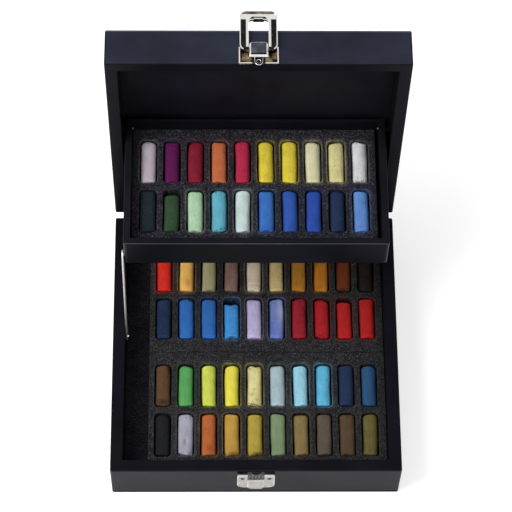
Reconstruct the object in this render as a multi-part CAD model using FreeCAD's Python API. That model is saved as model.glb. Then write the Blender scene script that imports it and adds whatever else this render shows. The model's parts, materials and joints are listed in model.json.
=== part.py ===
import FreeCAD, Part
import math
import os
from collections import namedtuple
from FreeCAD import Vector

# Wooden pastel box with a cantilever tray, shown standing open.
#
# Frame: millimetres, +X to the right, +Y to the back, +Z up, origin under the centre of the base.
# Every piece is shaped where it lies in the closed box.  The lid then turns about its hinge, the
# steel arm turns by the same angle about its pin, and the tray, which the two carry between them
# as the coupler of a parallelogram, moves without turning.

# ---- Box: two mitred carcasses that meet at the rim -----------------------------------------
BOX_WIDTH = 250.0
BOX_DEPTH = 244.0
BASE_HEIGHT = 51.0
LID_HEIGHT = 33.1
RIM_SEAM = 0.1                # left between the two rims when the lid is shut
WALL = 10.5
CORNER_RADIUS = 1.6           # upright outer corners
ARRIS = 0.9                   # eased long edges of the box
FLOOR_THICKNESS = 4.0         # floor of the base and top panel of the lid
PANEL_REBATE = 4.0            # how far a panel is let into the walls
PANEL_CLEARANCE = 0.1
SAW_OVERRUN = 1.0             # of the mitre cuts past the walls
LID_OPEN_ANGLE = 91.8

# ---- Butt hinges on the back face -----------------------------------------------------------
HINGE_SPACING = 140.0
HINGE_OFFSET = 3.2            # pin axis behind the back face
LEAF_WIDTH = 26.0
LEAF_HEIGHT = 20.0
LEAF_THICKNESS = 1.2
KNUCKLE_RADIUS = 2.5
KNUCKLE_GAP = 0.3
HINGE_PIN_RADIUS = 1.0
HINGE_SCREW_SPACING = 16.0
HINGE_SCREW_DROP = 12.0       # from the pin axis

# ---- Cantilever tray ------------------------------------------------------------------------
TRAY_DEPTH = 120.6
TRAY_HEIGHT = 36.2
TRAY_WALL = 5.7
TRAY_BACK_WALL = 2.4
TRAY_BOTTOM = 3.0
TRAY_CORNER_RADIUS = 2.5      # front corners
TRAY_ARRIS = 0.6
TRAY_LEFT_GAP = 2.4           # room for the arm
TRAY_RIGHT_GAP = 3.6
TRAY_FRONT_GAP = 2.6
TRAY_TOP_GAP = 2.3            # under the lid's top panel

# ---- Parallelogram linkage ------------------------------------------------------------------
PIVOT_INSET = 4.9             # rear pivots, ahead of the tray's back face
PIVOT_DROP = 8.2              # rear pivots, below the tray's rim
STUD_RISE = 11.5              # front stud, above the tray's bottom
ARM_WIDTH = 7.0
ARM_THICKNESS = 1.4
ARM_WALL_GAP = 0.4
PIN_RADIUS = 1.5
RUNNING_CLEARANCE = 0.08      # round a shank that something turns on
OPEN_PIVOT_CLEARANCE = 0.25   # round the stud at the front of the tray
SIDE_PLAY = 0.15              # along a pivot's axis
HEAD_RADIUS = 2.2
HEAD_HEIGHT = 1.6
HEAD_CROWN_RADIUS = 1.1        # of the head's flat top
PIVOT_SCREW_BITE = 8.0        # length in the wood
WASHER_RADIUS = 4.0

# ---- Foam pads and pastel sticks ------------------------------------------------------------
FOAM_CLEARANCE = 0.2
BASE_UNDERLAY = 18.5
TRAY_UNDERLAY = 7.7
STICK_RADIUS = 6.4
STICK_LENGTH = 37.6
STICK_LIFT = 0.2              # between a stick and what it lies on
STICK_PROUD = 1.0             # above the foam
SLOT_WIDTH = 15.0
SLOT_LENGTH = 40.8
COLUMN_PITCH = 20.1
BASE_LEFT_STRIP = 21.2        # bare underlay beside the pads
BASE_REAR_STRIP = 6.1         # bare underlay behind them
BASE_PAD_GAP = 0.3            # seam between the two pads
BASE_ROW_PITCH = 46.4
BASE_ROW_SHIFT = 1.3          # rows stand nearer the box's front and back walls
BASE_COLUMN_SHIFT = -1.0
TRAY_RIGHT_STRIP = 2.4        # bare underlay beside the tray's pad
TRAY_ROW_PITCH = 47.5

# ---- Latch on the lid: rises are above the lid's rim, outs are in front of the lid ------------
LATCH_PLATE_WIDTH = 32.2
LATCH_PLATE_HEIGHT = 16.0
PLATE_THICKNESS = 1.0
PLATE_RIM = 0.5               # height and twice the width of the raised edge
LATCH_PIVOT_RISE = 12.6
LATCH_PIVOT_OUT = 3.4
LATCH_PIN_RADIUS = 1.0
EYE_RADIUS = 1.9
EYE_LENGTH = 3.4
LEVER_WIDTH = 30.8
LEVER_REACH = 36.0            # from its pivot
LEVER_HEEL = 1.8              # behind its pivot
LEVER_OPENING_WIDTH = 16.2
LEVER_OPENING_REACH = 27.7
LEVER_DEPTH = 2.0             # over the turned-up edges
SHEET = 0.8
LEVER_EDGE = 0.9
LEVER_LIP_WIDTH = 22.0
LEVER_LIP_RADIUS = 3.5
LEVER_TAB_WIDTH = 10.0
LEVER_TAB_DEPTH = 1.0
LEVER_TAB_TAPER = 0.8         # at each side
LEVER_FAR_RADIUS = 5.0
LEVER_NEAR_RADIUS = 6.0
LEVER_OPENING_RADIUS = 3.0
BRIDGE_SIDE_GAP = 0.4         # to each leg of the lever
BRIDGE_RISE = 4.2
BRIDGE_HEIGHT = 14.4
BRIDGE_OUT = 6.0
BRIDGE_BEVEL = 1.3
TONGUE_WIDTH = 6.8
TONGUE_OVERHANG = 2.3         # past the lid's rim
TONGUE_OUT = 1.7
TONGUE_THICKNESS = 1.1
TONGUE_ROOT = 6.0             # held under the bridge
TONGUE_EYE_RADIUS = 1.5
RIVET_SPACING = 28.0
RIVET_RISE = 13.6

# ---- Catch on the base: drops are below the base's rim --------------------------------------
CATCH_TOP_DROP = 2.1
CATCH_BOTTOM_DROP = 33.5
CATCH_DEPTH = 1.6             # of the pan-shaped plate, without its raised edge
CATCH_RIM = 0.4               # height and twice the width of the raised edge
CATCH_CORNER_RADIUS = 6.0
BOSS_WIDTH = 14.5
BOSS_TOP_DROP = 17.6
BOSS_BOTTOM_DROP = 37.6
BOSS_OUT = 2.2
BOSS_BEVEL = 0.8
BOSS_CORNER_RADIUS = 4.0
RECESS_FLOOR = 0.6            # sheet left behind the ribs
CATCH_RIBS = 5
CATCH_RIB_WIDTH = 1.3
CATCH_RIB_OUT = 0.6
KEEPER_WIDTH = 9.4
KEEPER_TOP_DROP = 2.8
KEEPER_BOTTOM_DROP = 5.3
KEEPER_BULGE = 2.6
KEEPER_SHEET = 1.2
CATCH_SCREW_SPACING = 23.2
CATCH_SCREW_DROP = 14.3

# ---- Small fasteners ------------------------------------------------------------------------
Screw = namedtuple("Screw", "head_radius head_sunk head_proud shank_radius length")
HINGE_SCREW = Screw(head_radius=1.9, head_sunk=0.7, head_proud=0.0, shank_radius=1.0, length=9.0)
CATCH_SCREW = Screw(head_radius=2.0, head_sunk=0.0, head_proud=0.6, shank_radius=1.1, length=9.0)
RIVET = Screw(head_radius=1.0, head_sunk=0.0, head_proud=0.4, shank_radius=0.7, length=8.0)
PILOT_CLEARANCE = 0.05
HAIR = 0.01                   # keeps two arcs that meet from closing a straight to nothing
ROUND_SIDES = 20              # flats that stand for the full round of a pin or a bore
SMALL_SIDES = 12              # the same on screws, rivets and eyes
STICK_SIDES = 10

# ---- Derived places, closed box -------------------------------------------------------------
HALF_WIDTH = BOX_WIDTH / 2
HALF_DEPTH = BOX_DEPTH / 2
INNER_X = HALF_WIDTH - WALL
INNER_Y = HALF_DEPTH - WALL
LID_RIM = BASE_HEIGHT + RIM_SEAM
LID_TOP = LID_RIM + LID_HEIGHT
HINGE_AXIS = Vector(0, HALF_DEPTH + HINGE_OFFSET, BASE_HEIGHT)

TRAY_LEFT = -INNER_X + TRAY_LEFT_GAP
TRAY_RIGHT = INNER_X - TRAY_RIGHT_GAP
TRAY_FRONT = -INNER_Y + TRAY_FRONT_GAP
TRAY_BACK = TRAY_FRONT + TRAY_DEPTH
TRAY_RIM = LID_TOP - FLOOR_THICKNESS - TRAY_TOP_GAP
TRAY_FLOOR = TRAY_RIM - TRAY_HEIGHT
TRAY_INNER_LEFT = TRAY_LEFT + TRAY_WALL
TRAY_INNER_RIGHT = TRAY_RIGHT - TRAY_WALL
TRAY_INNER_FRONT = TRAY_FRONT + TRAY_WALL
TRAY_INNER_BACK = TRAY_BACK - TRAY_BACK_WALL

REAR_PIVOT = Vector(0, TRAY_BACK - PIVOT_INSET, TRAY_RIM - PIVOT_DROP)
FRONT_STUD = Vector(0, TRAY_FRONT + TRAY_WALL / 2, TRAY_FLOOR + STUD_RISE)
CRANK = REAR_PIVOT - HINGE_AXIS
ARM_PIN = FRONT_STUD - CRANK
ARM_OUTER_X = -INNER_X + ARM_WALL_GAP
ARM_INNER_X = ARM_OUTER_X + ARM_THICKNESS

PAD_THICKNESS = 2 * STICK_RADIUS + STICK_LIFT - STICK_PROUD
CATCH_TOP = BASE_HEIGHT - CATCH_TOP_DROP
CATCH_BOTTOM = BASE_HEIGHT - CATCH_BOTTOM_DROP
BOSS_TOP = BASE_HEIGHT - BOSS_TOP_DROP
BOSS_BOTTOM = BASE_HEIGHT - BOSS_BOTTOM_DROP
KEEPER_TOP = BASE_HEIGHT - KEEPER_TOP_DROP
KEEPER_BOTTOM = BASE_HEIGHT - KEEPER_BOTTOM_DROP
LATCH_PIVOT = Vector(0, -HALF_DEPTH - LATCH_PIVOT_OUT, LID_RIM + LATCH_PIVOT_RISE)


# ---- Basic shapes ---------------------------------------------------------------------------
def block(x_limits, y_limits, z_limits):
    """Rectangular solid between three pairs of limits."""
    low = Vector(x_limits[0], y_limits[0], z_limits[0])
    size = Vector(x_limits[1], y_limits[1], z_limits[1]) - low
    return Part.makeBox(size.x, size.y, size.z, low)


def ring(radius, sides, along=0.0):
    """Closed polygon of equal sides whose corners lie on a circle about the Z axis."""
    step = 2 * math.pi / sides
    corners = [Vector(radius * math.cos(step * side), radius * math.sin(step * side), along)
               for side in range(sides)]
    return Part.makePolygon(corners + corners[:1])


def rod(radius, start, direction, length, sides=ROUND_SIDES):
    """Round bar from a point along a direction, drawn with flats inside its circle."""
    bar = Part.Face(ring(radius, sides)).extrude(Vector(0, 0, length))
    bar.Placement = FreeCAD.Placement(start, FreeCAD.Rotation(Vector(0, 0, 1), direction))
    return bar


def bore(radius, start, direction, length, sides=ROUND_SIDES):
    """Cutter for a round hole, drawn with flats outside its circle."""
    return rod(radius / math.cos(math.pi / sides), start, direction, length, sides)


def taper(radii, start, direction, length, sides=ROUND_SIDES):
    """Round bar whose radius changes evenly from its start to its end."""
    cone = Part.makeLoft([ring(radii[0], sides), ring(radii[1], sides, length)], True, True)
    cone.Placement = FreeCAD.Placement(start, FreeCAD.Rotation(Vector(0, 0, 1), direction))
    return cone


def outline(corners, to_space):
    """Closed face through corners (a, b, radius); a radius of 0 leaves the corner sharp."""
    spans = []
    for index, (a, b, radius) in enumerate(corners):
        here = Vector(a, b, 0)
        before = Vector(*corners[index - 1][:2], 0)
        after = Vector(*corners[(index + 1) % len(corners)][:2], 0)
        back = (before - here).normalize()
        ahead = (after - here).normalize()
        half = back.getAngle(ahead) / 2
        inward = (back + ahead).normalize()
        reach = radius / math.tan(half)
        middle = here + inward * (radius / math.sin(half) - radius)
        spans.append([to_space(p.x, p.y) for p in (here + back * reach, middle, here + ahead * reach)])
    edges = []
    for index, (entry, middle, leave) in enumerate(spans):
        if corners[index][2] > 0:
            edges.append(Part.Arc(entry, middle, leave).toShape())
        following = spans[(index + 1) % len(spans)][0]
        if leave.distanceToPoint(following) > 1e-6:
            edges.append(Part.LineSegment(leave, following).toShape())
    return Part.Face(Part.Wire(edges))


def front_prism(corners, out_from, out_to):
    """Prism on the box's front face: corners are (x, z, radius), out is the distance in front of it."""
    face = outline(corners, lambda x, z: Vector(x, -HALF_DEPTH - out_from, z))
    return face.extrude(Vector(0, out_from - out_to, 0))


def mirrored_corners(half):
    """Corners of an outline that is the same on both sides of x = 0, from its right half."""
    return list(half) + [(-x, z, radius) for x, z, radius in reversed(half)]


def level_edges(shape, z, keep=lambda edge: True):
    """Edges that lie wholly at height z."""
    return [e for e in shape.Edges
            if abs(e.BoundBox.ZMin - z) < 1e-4 and abs(e.BoundBox.ZMax - z) < 1e-4 and keep(e)]


def upright_edges(shape, keep=lambda edge: True):
    """Straight edges parallel to Z."""
    return [e for e in shape.Edges
            if e.BoundBox.XLength < 1e-4 and e.BoundBox.YLength < 1e-4 and keep(e)]


# ---- Fasteners ------------------------------------------------------------------------------
def small_screw(spec, seat, direction):
    """Screw or rivet driven from its seat, with a flat head."""
    head_start = seat - direction * spec.head_proud
    head_height = spec.head_proud + spec.head_sunk
    head = rod(spec.head_radius, head_start, direction, head_height, SMALL_SIDES)
    return head.fuse(rod(spec.shank_radius, seat, direction, spec.length, SMALL_SIDES)).removeSplitter()


def small_screw_hole(spec, seat, direction):
    """Cutter for the screw's shank and for what is sunk of its head."""
    hole = bore(spec.shank_radius + PILOT_CLEARANCE, seat, direction, spec.length, SMALL_SIDES)
    if spec.head_sunk > 0:
        sunk = bore(spec.head_radius + PILOT_CLEARANCE, seat, direction, spec.head_sunk, SMALL_SIDES)
        hole = hole.fuse(sunk)
    return hole


def pivot_screw(seat, direction, length):
    """Screw with a tapered head that stands on its seat; the shank is a smooth pivot."""
    head = taper((HEAD_RADIUS, HEAD_CROWN_RADIUS), seat, -direction, HEAD_HEIGHT)
    return head.fuse(rod(PIN_RADIUS, seat, direction, length)).removeSplitter()


# ---- Motion from the closed to the open box -------------------------------------------------
def turn_about(shape, axis_point):
    """Copy of a shape turned by the opening angle about an axis along X."""
    opened = shape.copy()
    opened.rotate(axis_point, Vector(1, 0, 0), -LID_OPEN_ANGLE)
    return opened


def open_lid(shape):
    return turn_about(shape, HINGE_AXIS)


def swing_arm(shape):
    return turn_about(shape, ARM_PIN)


def lift_tray(shape):
    """The tray is carried along by the rear pivots and stays level."""
    turned_crank = FreeCAD.Rotation(Vector(1, 0, 0), -LID_OPEN_ANGLE).multVec(CRANK)
    lifted = shape.copy()
    lifted.translate(turned_crank - CRANK)
    return lifted


# ---- Carcasses ------------------------------------------------------------------------------
def wall_ring(z_limits, rebate_limits):
    """Four walls in one piece, with eased edges and a rebate for the floor or the top panel."""
    ring = block((-HALF_WIDTH, HALF_WIDTH), (-HALF_DEPTH, HALF_DEPTH), z_limits)
    ring = ring.makeFillet(CORNER_RADIUS, upright_edges(ring))
    for z in z_limits:
        ring = ring.makeChamfer(ARRIS, level_edges(ring, z))
    ring = ring.cut(block((-INNER_X, INNER_X), (-INNER_Y, INNER_Y), z_limits))
    rebate_x = INNER_X + PANEL_REBATE
    rebate_y = INNER_Y + PANEL_REBATE
    return ring.cut(block((-rebate_x, rebate_x), (-rebate_y, rebate_y), rebate_limits))


def ease_inner_rim(ring, z):
    """Small bevel round the inner edge of a rim."""
    inside = [e for e in level_edges(ring, z)
              if e.BoundBox.XMax < INNER_X + 1e-3 and e.BoundBox.XMin > -INNER_X - 1e-3
              and e.BoundBox.YMax < INNER_Y + 1e-3 and e.BoundBox.YMin > -INNER_Y - 1e-3]
    return ring.makeChamfer(ARRIS / 2, inside)


def mitred_rails(ring, z_limits):
    """The ring sawn through its corners at 45 degrees: front, back, left and right walls."""
    reach = WALL + SAW_OVERRUN
    rails = {}
    for name, along, half_length, half_across in (("front", 0, HALF_WIDTH, HALF_DEPTH),
                                                  ("right", 90, HALF_DEPTH, HALF_WIDTH),
                                                  ("back", 180, HALF_WIDTH, HALF_DEPTH),
                                                  ("left", 270, HALF_DEPTH, HALF_WIDTH)):
        corners = [(-half_length, -half_across, 0), (half_length, -half_across, 0),
                   (half_length - reach, reach - half_across, 0),
                   (reach - half_length, reach - half_across, 0)]
        wedge = outline(corners, lambda x, y: Vector(x, y, z_limits[0]))
        wedge = wedge.extrude(Vector(0, 0, z_limits[1] - z_limits[0]))
        wedge.rotate(Vector(0, 0, 0), Vector(0, 0, 1), along)
        rails[name] = ring.common(wedge)
    return rails


def panel(z_limits):
    """Thin panel that drops into a carcass's rebate."""
    half_x = INNER_X + PANEL_REBATE - PANEL_CLEARANCE
    half_y = INNER_Y + PANEL_REBATE - PANEL_CLEARANCE
    return block((-half_x, half_x), (-half_y, half_y), z_limits)


def base_carcass():
    limits = (0, BASE_HEIGHT)
    floor_limits = (0, FLOOR_THICKNESS)
    ring = ease_inner_rim(wall_ring(limits, floor_limits), BASE_HEIGHT)
    pieces = {"base_" + side: rail for side, rail in mitred_rails(ring, limits).items()}
    pieces["base_floor"] = panel(floor_limits)
    return pieces


def lid_carcass():
    limits = (LID_RIM, LID_TOP)
    panel_limits = (LID_TOP - FLOOR_THICKNESS, LID_TOP)
    ring = ease_inner_rim(wall_ring(limits, panel_limits), LID_RIM)
    pieces = {"lid_" + side: rail for side, rail in mitred_rails(ring, limits).items()}
    pieces["lid_panel"] = panel(panel_limits)
    return pieces


# ---- Foam and sticks ------------------------------------------------------------------------
def slot_cutter(x, y, z_limits):
    """Cutter for one slot."""
    half = SLOT_WIDTH / 2
    reach = SLOT_LENGTH / 2
    return block((x - half, x + half), (y - reach, y + reach), z_limits)


def column_places(x_limits, shift):
    """X of each column: as many as the pad is wide enough for, about its middle and then shifted."""
    count = int((x_limits[1] - x_limits[0]) / COLUMN_PITCH)
    first = sum(x_limits) / 2 + shift - COLUMN_PITCH * (count - 1) / 2
    return [first + COLUMN_PITCH * column for column in range(count)]


def slotted_pad(x_limits, y_limits, bottom, columns, rows):
    """Foam pad cut right through by a slot for each stick."""
    z_limits = (bottom, bottom + PAD_THICKNESS)
    cutters = [slot_cutter(x, y, z_limits) for x in columns for y in rows]
    return block(x_limits, y_limits, z_limits).cut(Part.makeCompound(cutters))


def stick_row(columns, row, bottom):
    """One row of sticks, each lying in its slot."""
    z = bottom + STICK_LIFT + STICK_RADIUS
    starts = [Vector(x, row - STICK_LENGTH / 2, z) for x in columns]
    sticks = [rod(STICK_RADIUS, start, Vector(0, 1, 0), STICK_LENGTH, STICK_SIDES) for start in starts]
    return Part.makeCompound(sticks)


def base_contents():
    """Underlay and the two pads, pushed against the right wall; the left strip stays bare."""
    top = FLOOR_THICKNESS + BASE_UNDERLAY
    edge_x = INNER_X - FOAM_CLEARANCE
    edge_y = INNER_Y - FOAM_CLEARANCE
    x_limits = (BASE_LEFT_STRIP - INNER_X, edge_x)
    columns = column_places(x_limits, BASE_COLUMN_SHIFT)
    depth = (INNER_Y - BASE_REAR_STRIP + edge_y - BASE_PAD_GAP) / 2
    pieces = {"base_underlay": block((-edge_x, edge_x), (-edge_y, edge_y), (FLOOR_THICKNESS, top))}
    front_limits = (-edge_y, depth - edge_y)
    rear_limits = (front_limits[1] + BASE_PAD_GAP, INNER_Y - BASE_REAR_STRIP)
    for name, y_limits, shift in (("front", front_limits, -BASE_ROW_SHIFT),
                                  ("rear", rear_limits, BASE_ROW_SHIFT)):
        middle = sum(y_limits) / 2 + shift
        rows = {"front": middle - BASE_ROW_PITCH / 2, "back": middle + BASE_ROW_PITCH / 2}
        pieces[name + "_pad"] = slotted_pad(x_limits, y_limits, top, columns, rows.values())
        for row_name, y in rows.items():
            pieces[name + "_pad_sticks_" + row_name] = stick_row(columns, y, top)
    return pieces


def tray_contents():
    """Underlay, pad and sticks of the tray."""
    bottom = TRAY_FLOOR + TRAY_BOTTOM
    top = bottom + TRAY_UNDERLAY
    y_limits = (TRAY_INNER_FRONT + FOAM_CLEARANCE, TRAY_INNER_BACK - FOAM_CLEARANCE)
    left = TRAY_INNER_LEFT + FOAM_CLEARANCE
    right = TRAY_INNER_RIGHT - FOAM_CLEARANCE
    x_limits = (left, right - TRAY_RIGHT_STRIP)
    middle = sum(y_limits) / 2
    rows = {"front": middle - TRAY_ROW_PITCH / 2, "back": middle + TRAY_ROW_PITCH / 2}
    columns = column_places(x_limits, 0.0)
    pieces = {"tray_underlay": block((left, right), y_limits, (bottom, top)),
              "tray_pad": slotted_pad(x_limits, y_limits, top, columns, rows.values())}
    for row_name, y in rows.items():
        pieces["tray_sticks_" + row_name] = stick_row(columns, y, top)
    return pieces


# ---- Tray -----------------------------------------------------------------------------------
def tray_boards():
    """Front board across the full width, two sides behind it, a thin back and a bottom between."""
    z_limits = (TRAY_FLOOR, TRAY_RIM)
    ring = block((TRAY_LEFT, TRAY_RIGHT), (TRAY_FRONT, TRAY_BACK), z_limits)
    front_corners = upright_edges(ring, lambda e: e.BoundBox.YMin < TRAY_INNER_FRONT)
    ring = ring.makeFillet(TRAY_CORNER_RADIUS, front_corners)
    for z in z_limits:
        ring = ring.makeChamfer(TRAY_ARRIS, level_edges(ring, z))
    inside = block((TRAY_INNER_LEFT, TRAY_INNER_RIGHT), (TRAY_INNER_FRONT, TRAY_INNER_BACK), z_limits)
    ring = ring.cut(inside)
    inner_rim = [e for e in level_edges(ring, TRAY_RIM)
                 if TRAY_INNER_LEFT - 1e-3 < e.BoundBox.XMin and e.BoundBox.XMax < TRAY_INNER_RIGHT + 1e-3
                 and TRAY_INNER_FRONT - 1e-3 < e.BoundBox.YMin and e.BoundBox.YMax < TRAY_INNER_BACK + 1e-3]
    ring = ring.makeChamfer(TRAY_ARRIS / 2, inner_rim)
    behind_front = (TRAY_INNER_FRONT, TRAY_BACK)
    return {
        "tray_front": ring.common(block((TRAY_LEFT, TRAY_RIGHT), (TRAY_FRONT, TRAY_INNER_FRONT), z_limits)),
        "tray_left": ring.common(block((TRAY_LEFT, TRAY_INNER_LEFT), behind_front, z_limits)),
        "tray_right": ring.common(block((TRAY_INNER_RIGHT, TRAY_RIGHT), behind_front, z_limits)),
        "tray_back": ring.common(block((TRAY_INNER_LEFT, TRAY_INNER_RIGHT), behind_front, z_limits)),
        "tray_bottom": block((TRAY_INNER_LEFT, TRAY_INNER_RIGHT), (TRAY_INNER_FRONT, TRAY_INNER_BACK),
                             (TRAY_FLOOR, TRAY_FLOOR + TRAY_BOTTOM)),
    }


# ---- Linkage --------------------------------------------------------------------------------
def rear_pivot(side):
    """Screw and spacer at one rear corner of the tray; side is -1 at the left and +1 at the right."""
    outward = Vector(side, 0, 0)
    inner_face = -TRAY_INNER_LEFT if side < 0 else TRAY_INNER_RIGHT
    outer_face = -TRAY_LEFT if side < 0 else TRAY_RIGHT
    seat = REAR_PIVOT + outward * (inner_face - SIDE_PLAY)
    length = INNER_X + PIVOT_SCREW_BITE - inner_face + SIDE_PLAY
    spacer_start = REAR_PIVOT + outward * (outer_face + SIDE_PLAY)
    spacer_length = INNER_X - outer_face - SIDE_PLAY
    spacer = rod(WASHER_RADIUS, spacer_start, outward, spacer_length)
    spacer = spacer.cut(bore(PIN_RADIUS + PILOT_CLEARANCE, spacer_start, outward, spacer_length))
    tray_hole = bore(PIN_RADIUS + RUNNING_CLEARANCE, seat, outward, TRAY_WALL + 2 * SIDE_PLAY)
    lid_hole = bore(PIN_RADIUS + PILOT_CLEARANCE, seat, outward, length)
    return pivot_screw(seat, outward, length), spacer, tray_hole, lid_hole


def arm_pin():
    """Round-headed pin in the base's left wall that the arm turns on, and the hole for it."""
    outward = Vector(-1, 0, 0)
    seat = Vector(ARM_INNER_X + SIDE_PLAY, ARM_PIN.y, ARM_PIN.z)
    length = seat.x + INNER_X + PIVOT_SCREW_BITE
    return pivot_screw(seat, outward, length), bore(PIN_RADIUS + PILOT_CLEARANCE, seat, outward, length)


def arm_stud():
    """Stud in the end of the tray's front board, spread into the arm's countersink."""
    start = Vector(ARM_OUTER_X + SIDE_PLAY, FRONT_STUD.y, FRONT_STUD.z)
    flare = ARM_THICKNESS / 2
    length = TRAY_LEFT + PIVOT_SCREW_BITE - start.x
    inward = Vector(1, 0, 0)
    spread = taper((PIN_RADIUS + flare, PIN_RADIUS), start, inward, flare)
    stud = spread.fuse(rod(PIN_RADIUS, start, inward, length)).removeSplitter()
    return stud, bore(PIN_RADIUS + PILOT_CLEARANCE, start, inward, length)


def support_arm():
    """Flat steel strip with round ends, from the base pin to the tray's stud."""
    direction = (FRONT_STUD - ARM_PIN).normalize()
    length = FRONT_STUD.distanceToPoint(ARM_PIN)
    across = direction.cross(Vector(1, 0, 0))
    radius = ARM_WIDTH / 2

    def place(along, sideways):
        point = ARM_PIN + direction * along + across * sideways
        return Vector(ARM_OUTER_X, point.y, point.z)

    end = radius - HAIR
    strip = outline([(-radius, -radius, end), (length + radius, -radius, end),
                     (length + radius, radius, end), (-radius, radius, end)], place)
    strip = strip.extrude(Vector(ARM_THICKNESS, 0, 0))
    inward = Vector(1, 0, 0)
    strip = strip.cut(bore(PIN_RADIUS + RUNNING_CLEARANCE, place(0, 0), inward, ARM_THICKNESS))
    wide = (PIN_RADIUS + OPEN_PIVOT_CLEARANCE) / math.cos(math.pi / ROUND_SIDES)
    flare = ARM_THICKNESS / 2 + SIDE_PLAY
    countersink = taper((wide + flare, wide), place(length, 0), inward, flare)
    return strip.cut(countersink).cut(rod(wide, place(length, 0), inward, ARM_THICKNESS))


# ---- Hinges ---------------------------------------------------------------------------------
def hinge_knuckles(centre_x):
    """X limits of the base's two outer knuckles and of the lid's middle one."""
    third = LEAF_WIDTH / 3
    left = centre_x - LEAF_WIDTH / 2
    return ([(left, left + third - KNUCKLE_GAP / 2), (left + 2 * third + KNUCKLE_GAP / 2, left + LEAF_WIDTH)],
            [(left + third + KNUCKLE_GAP / 2, left + 2 * third - KNUCKLE_GAP / 2)])


def hinge_screw_seats(centre_x, upward):
    """Points on the leaf's outer face; upward is +1 for the lid's leaf and -1 for the base's."""
    y = HALF_DEPTH + LEAF_THICKNESS
    z = BASE_HEIGHT + upward * HINGE_SCREW_DROP
    return [Vector(centre_x + side * HINGE_SCREW_SPACING / 2, y, z) for side in (-1, 1)]


def hinge_leaf(centre_x, knuckles, upward):
    """Leaf on the back face with its share of the knuckles."""
    y_limits = (HALF_DEPTH, HALF_DEPTH + LEAF_THICKNESS)
    shoulder = KNUCKLE_RADIUS + 2 * KNUCKLE_GAP
    heights = sorted((BASE_HEIGHT + upward * shoulder, BASE_HEIGHT + upward * LEAF_HEIGHT))
    leaf = block((centre_x - LEAF_WIDTH / 2, centre_x + LEAF_WIDTH / 2), y_limits, heights)
    root = HALF_DEPTH + LEAF_THICKNESS
    for x_limits in knuckles:
        tab = sorted((BASE_HEIGHT, BASE_HEIGHT + upward * shoulder))
        leaf = leaf.fuse(block(x_limits, (root - LEAF_THICKNESS, root), tab))
        start = Vector(x_limits[0], HINGE_AXIS.y, HINGE_AXIS.z)
        leaf = leaf.fuse(rod(KNUCKLE_RADIUS, start, Vector(1, 0, 0), x_limits[1] - x_limits[0]))
    bore_start = Vector(centre_x - LEAF_WIDTH / 2, HINGE_AXIS.y, HINGE_AXIS.z)
    leaf = leaf.cut(bore(HINGE_PIN_RADIUS + RUNNING_CLEARANCE, bore_start, Vector(1, 0, 0), LEAF_WIDTH))
    for seat in hinge_screw_seats(centre_x, upward):
        leaf = leaf.cut(small_screw_hole(HINGE_SCREW, seat, Vector(0, -1, 0)))
    return leaf.removeSplitter()


def hinge_pin(centre_x):
    start = Vector(centre_x - LEAF_WIDTH / 2, HINGE_AXIS.y, HINGE_AXIS.z)
    return rod(HINGE_PIN_RADIUS, start, Vector(1, 0, 0), LEAF_WIDTH)


# ---- Latch on the lid -----------------------------------------------------------------------
def rimmed_plate(corners, inner_corners, thickness, rim):
    """Flat plate with a raised edge that stands round the inner outline."""
    plate = front_prism(corners, 0, thickness + rim)
    return plate.cut(front_prism(inner_corners, thickness, thickness + rim))


def latch_plate():
    half = LATCH_PLATE_WIDTH / 2
    inner = half - 2 * PLATE_RIM
    top = LID_RIM + LATCH_PLATE_HEIGHT
    return rimmed_plate(mirrored_corners([(half, LID_RIM, 0), (half, top, 0)]),
                        mirrored_corners([(inner, LID_RIM + 2 * PLATE_RIM, 0), (inner, top, 0)]),
                        PLATE_THICKNESS, PLATE_RIM)


def latch_bridge():
    """Bevelled housing between the lever's legs; the pin runs through it, the tongue under it."""
    half = LEVER_OPENING_WIDTH / 2 - BRIDGE_SIDE_GAP
    low = LID_RIM + BRIDGE_RISE
    high = low + BRIDGE_HEIGHT
    bridge = front_prism(mirrored_corners([(half, low, 0), (half, high, 2 * BRIDGE_BEVEL)]),
                         PLATE_THICKNESS, BRIDGE_OUT)
    outer_y = -HALF_DEPTH - BRIDGE_OUT
    outer_edges = [e for e in bridge.Edges if abs(e.BoundBox.YMax - outer_y) < 1e-4]
    bridge = bridge.makeChamfer(BRIDGE_BEVEL, outer_edges)
    slot_half = TONGUE_WIDTH / 2 + PILOT_CLEARANCE
    slot = front_prism(mirrored_corners([(slot_half, low, 0), (slot_half, low + TONGUE_ROOT, 0)]),
                       PLATE_THICKNESS, TONGUE_OUT + TONGUE_THICKNESS)
    start = LATCH_PIVOT - Vector(half, 0, 0)
    return bridge.cut(slot).cut(bore(LATCH_PIN_RADIUS + PILOT_CLEARANCE, start, Vector(1, 0, 0), 2 * half))


def latch_tongue():
    """Half-round tongue with an eye; it reaches past the rim and lines the lid up on the keeper."""
    half = TONGUE_WIDTH / 2
    tip = LID_RIM - TONGUE_OVERHANG
    root = LID_RIM + BRIDGE_RISE + TONGUE_ROOT
    tongue = front_prism(mirrored_corners([(half, tip, half - HAIR), (half, root, 0)]),
                         TONGUE_OUT, TONGUE_OUT + TONGUE_THICKNESS)
    eye = Vector(0, -HALF_DEPTH - TONGUE_OUT, tip + half)
    return tongue.cut(bore(TONGUE_EYE_RADIUS, eye, Vector(0, -1, 0), TONGUE_THICKNESS))


def latch_pin():
    half = LEVER_OPENING_WIDTH / 2 + EYE_LENGTH - SIDE_PLAY
    return rod(LATCH_PIN_RADIUS, LATCH_PIVOT - Vector(half, 0, 0), Vector(1, 0, 0), 2 * half)


def lever_u(half_width, heel, reach, opening_half, opening_reach, radii):
    """Corners (x, distance from the pivot, radius) of the lever's U, from its right half."""
    far, near, inner = radii
    return mirrored_corners([(opening_half, opening_reach, inner), (opening_half, -heel, 0),
                             (half_width, -heel, near), (half_width, reach, far)])


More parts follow.
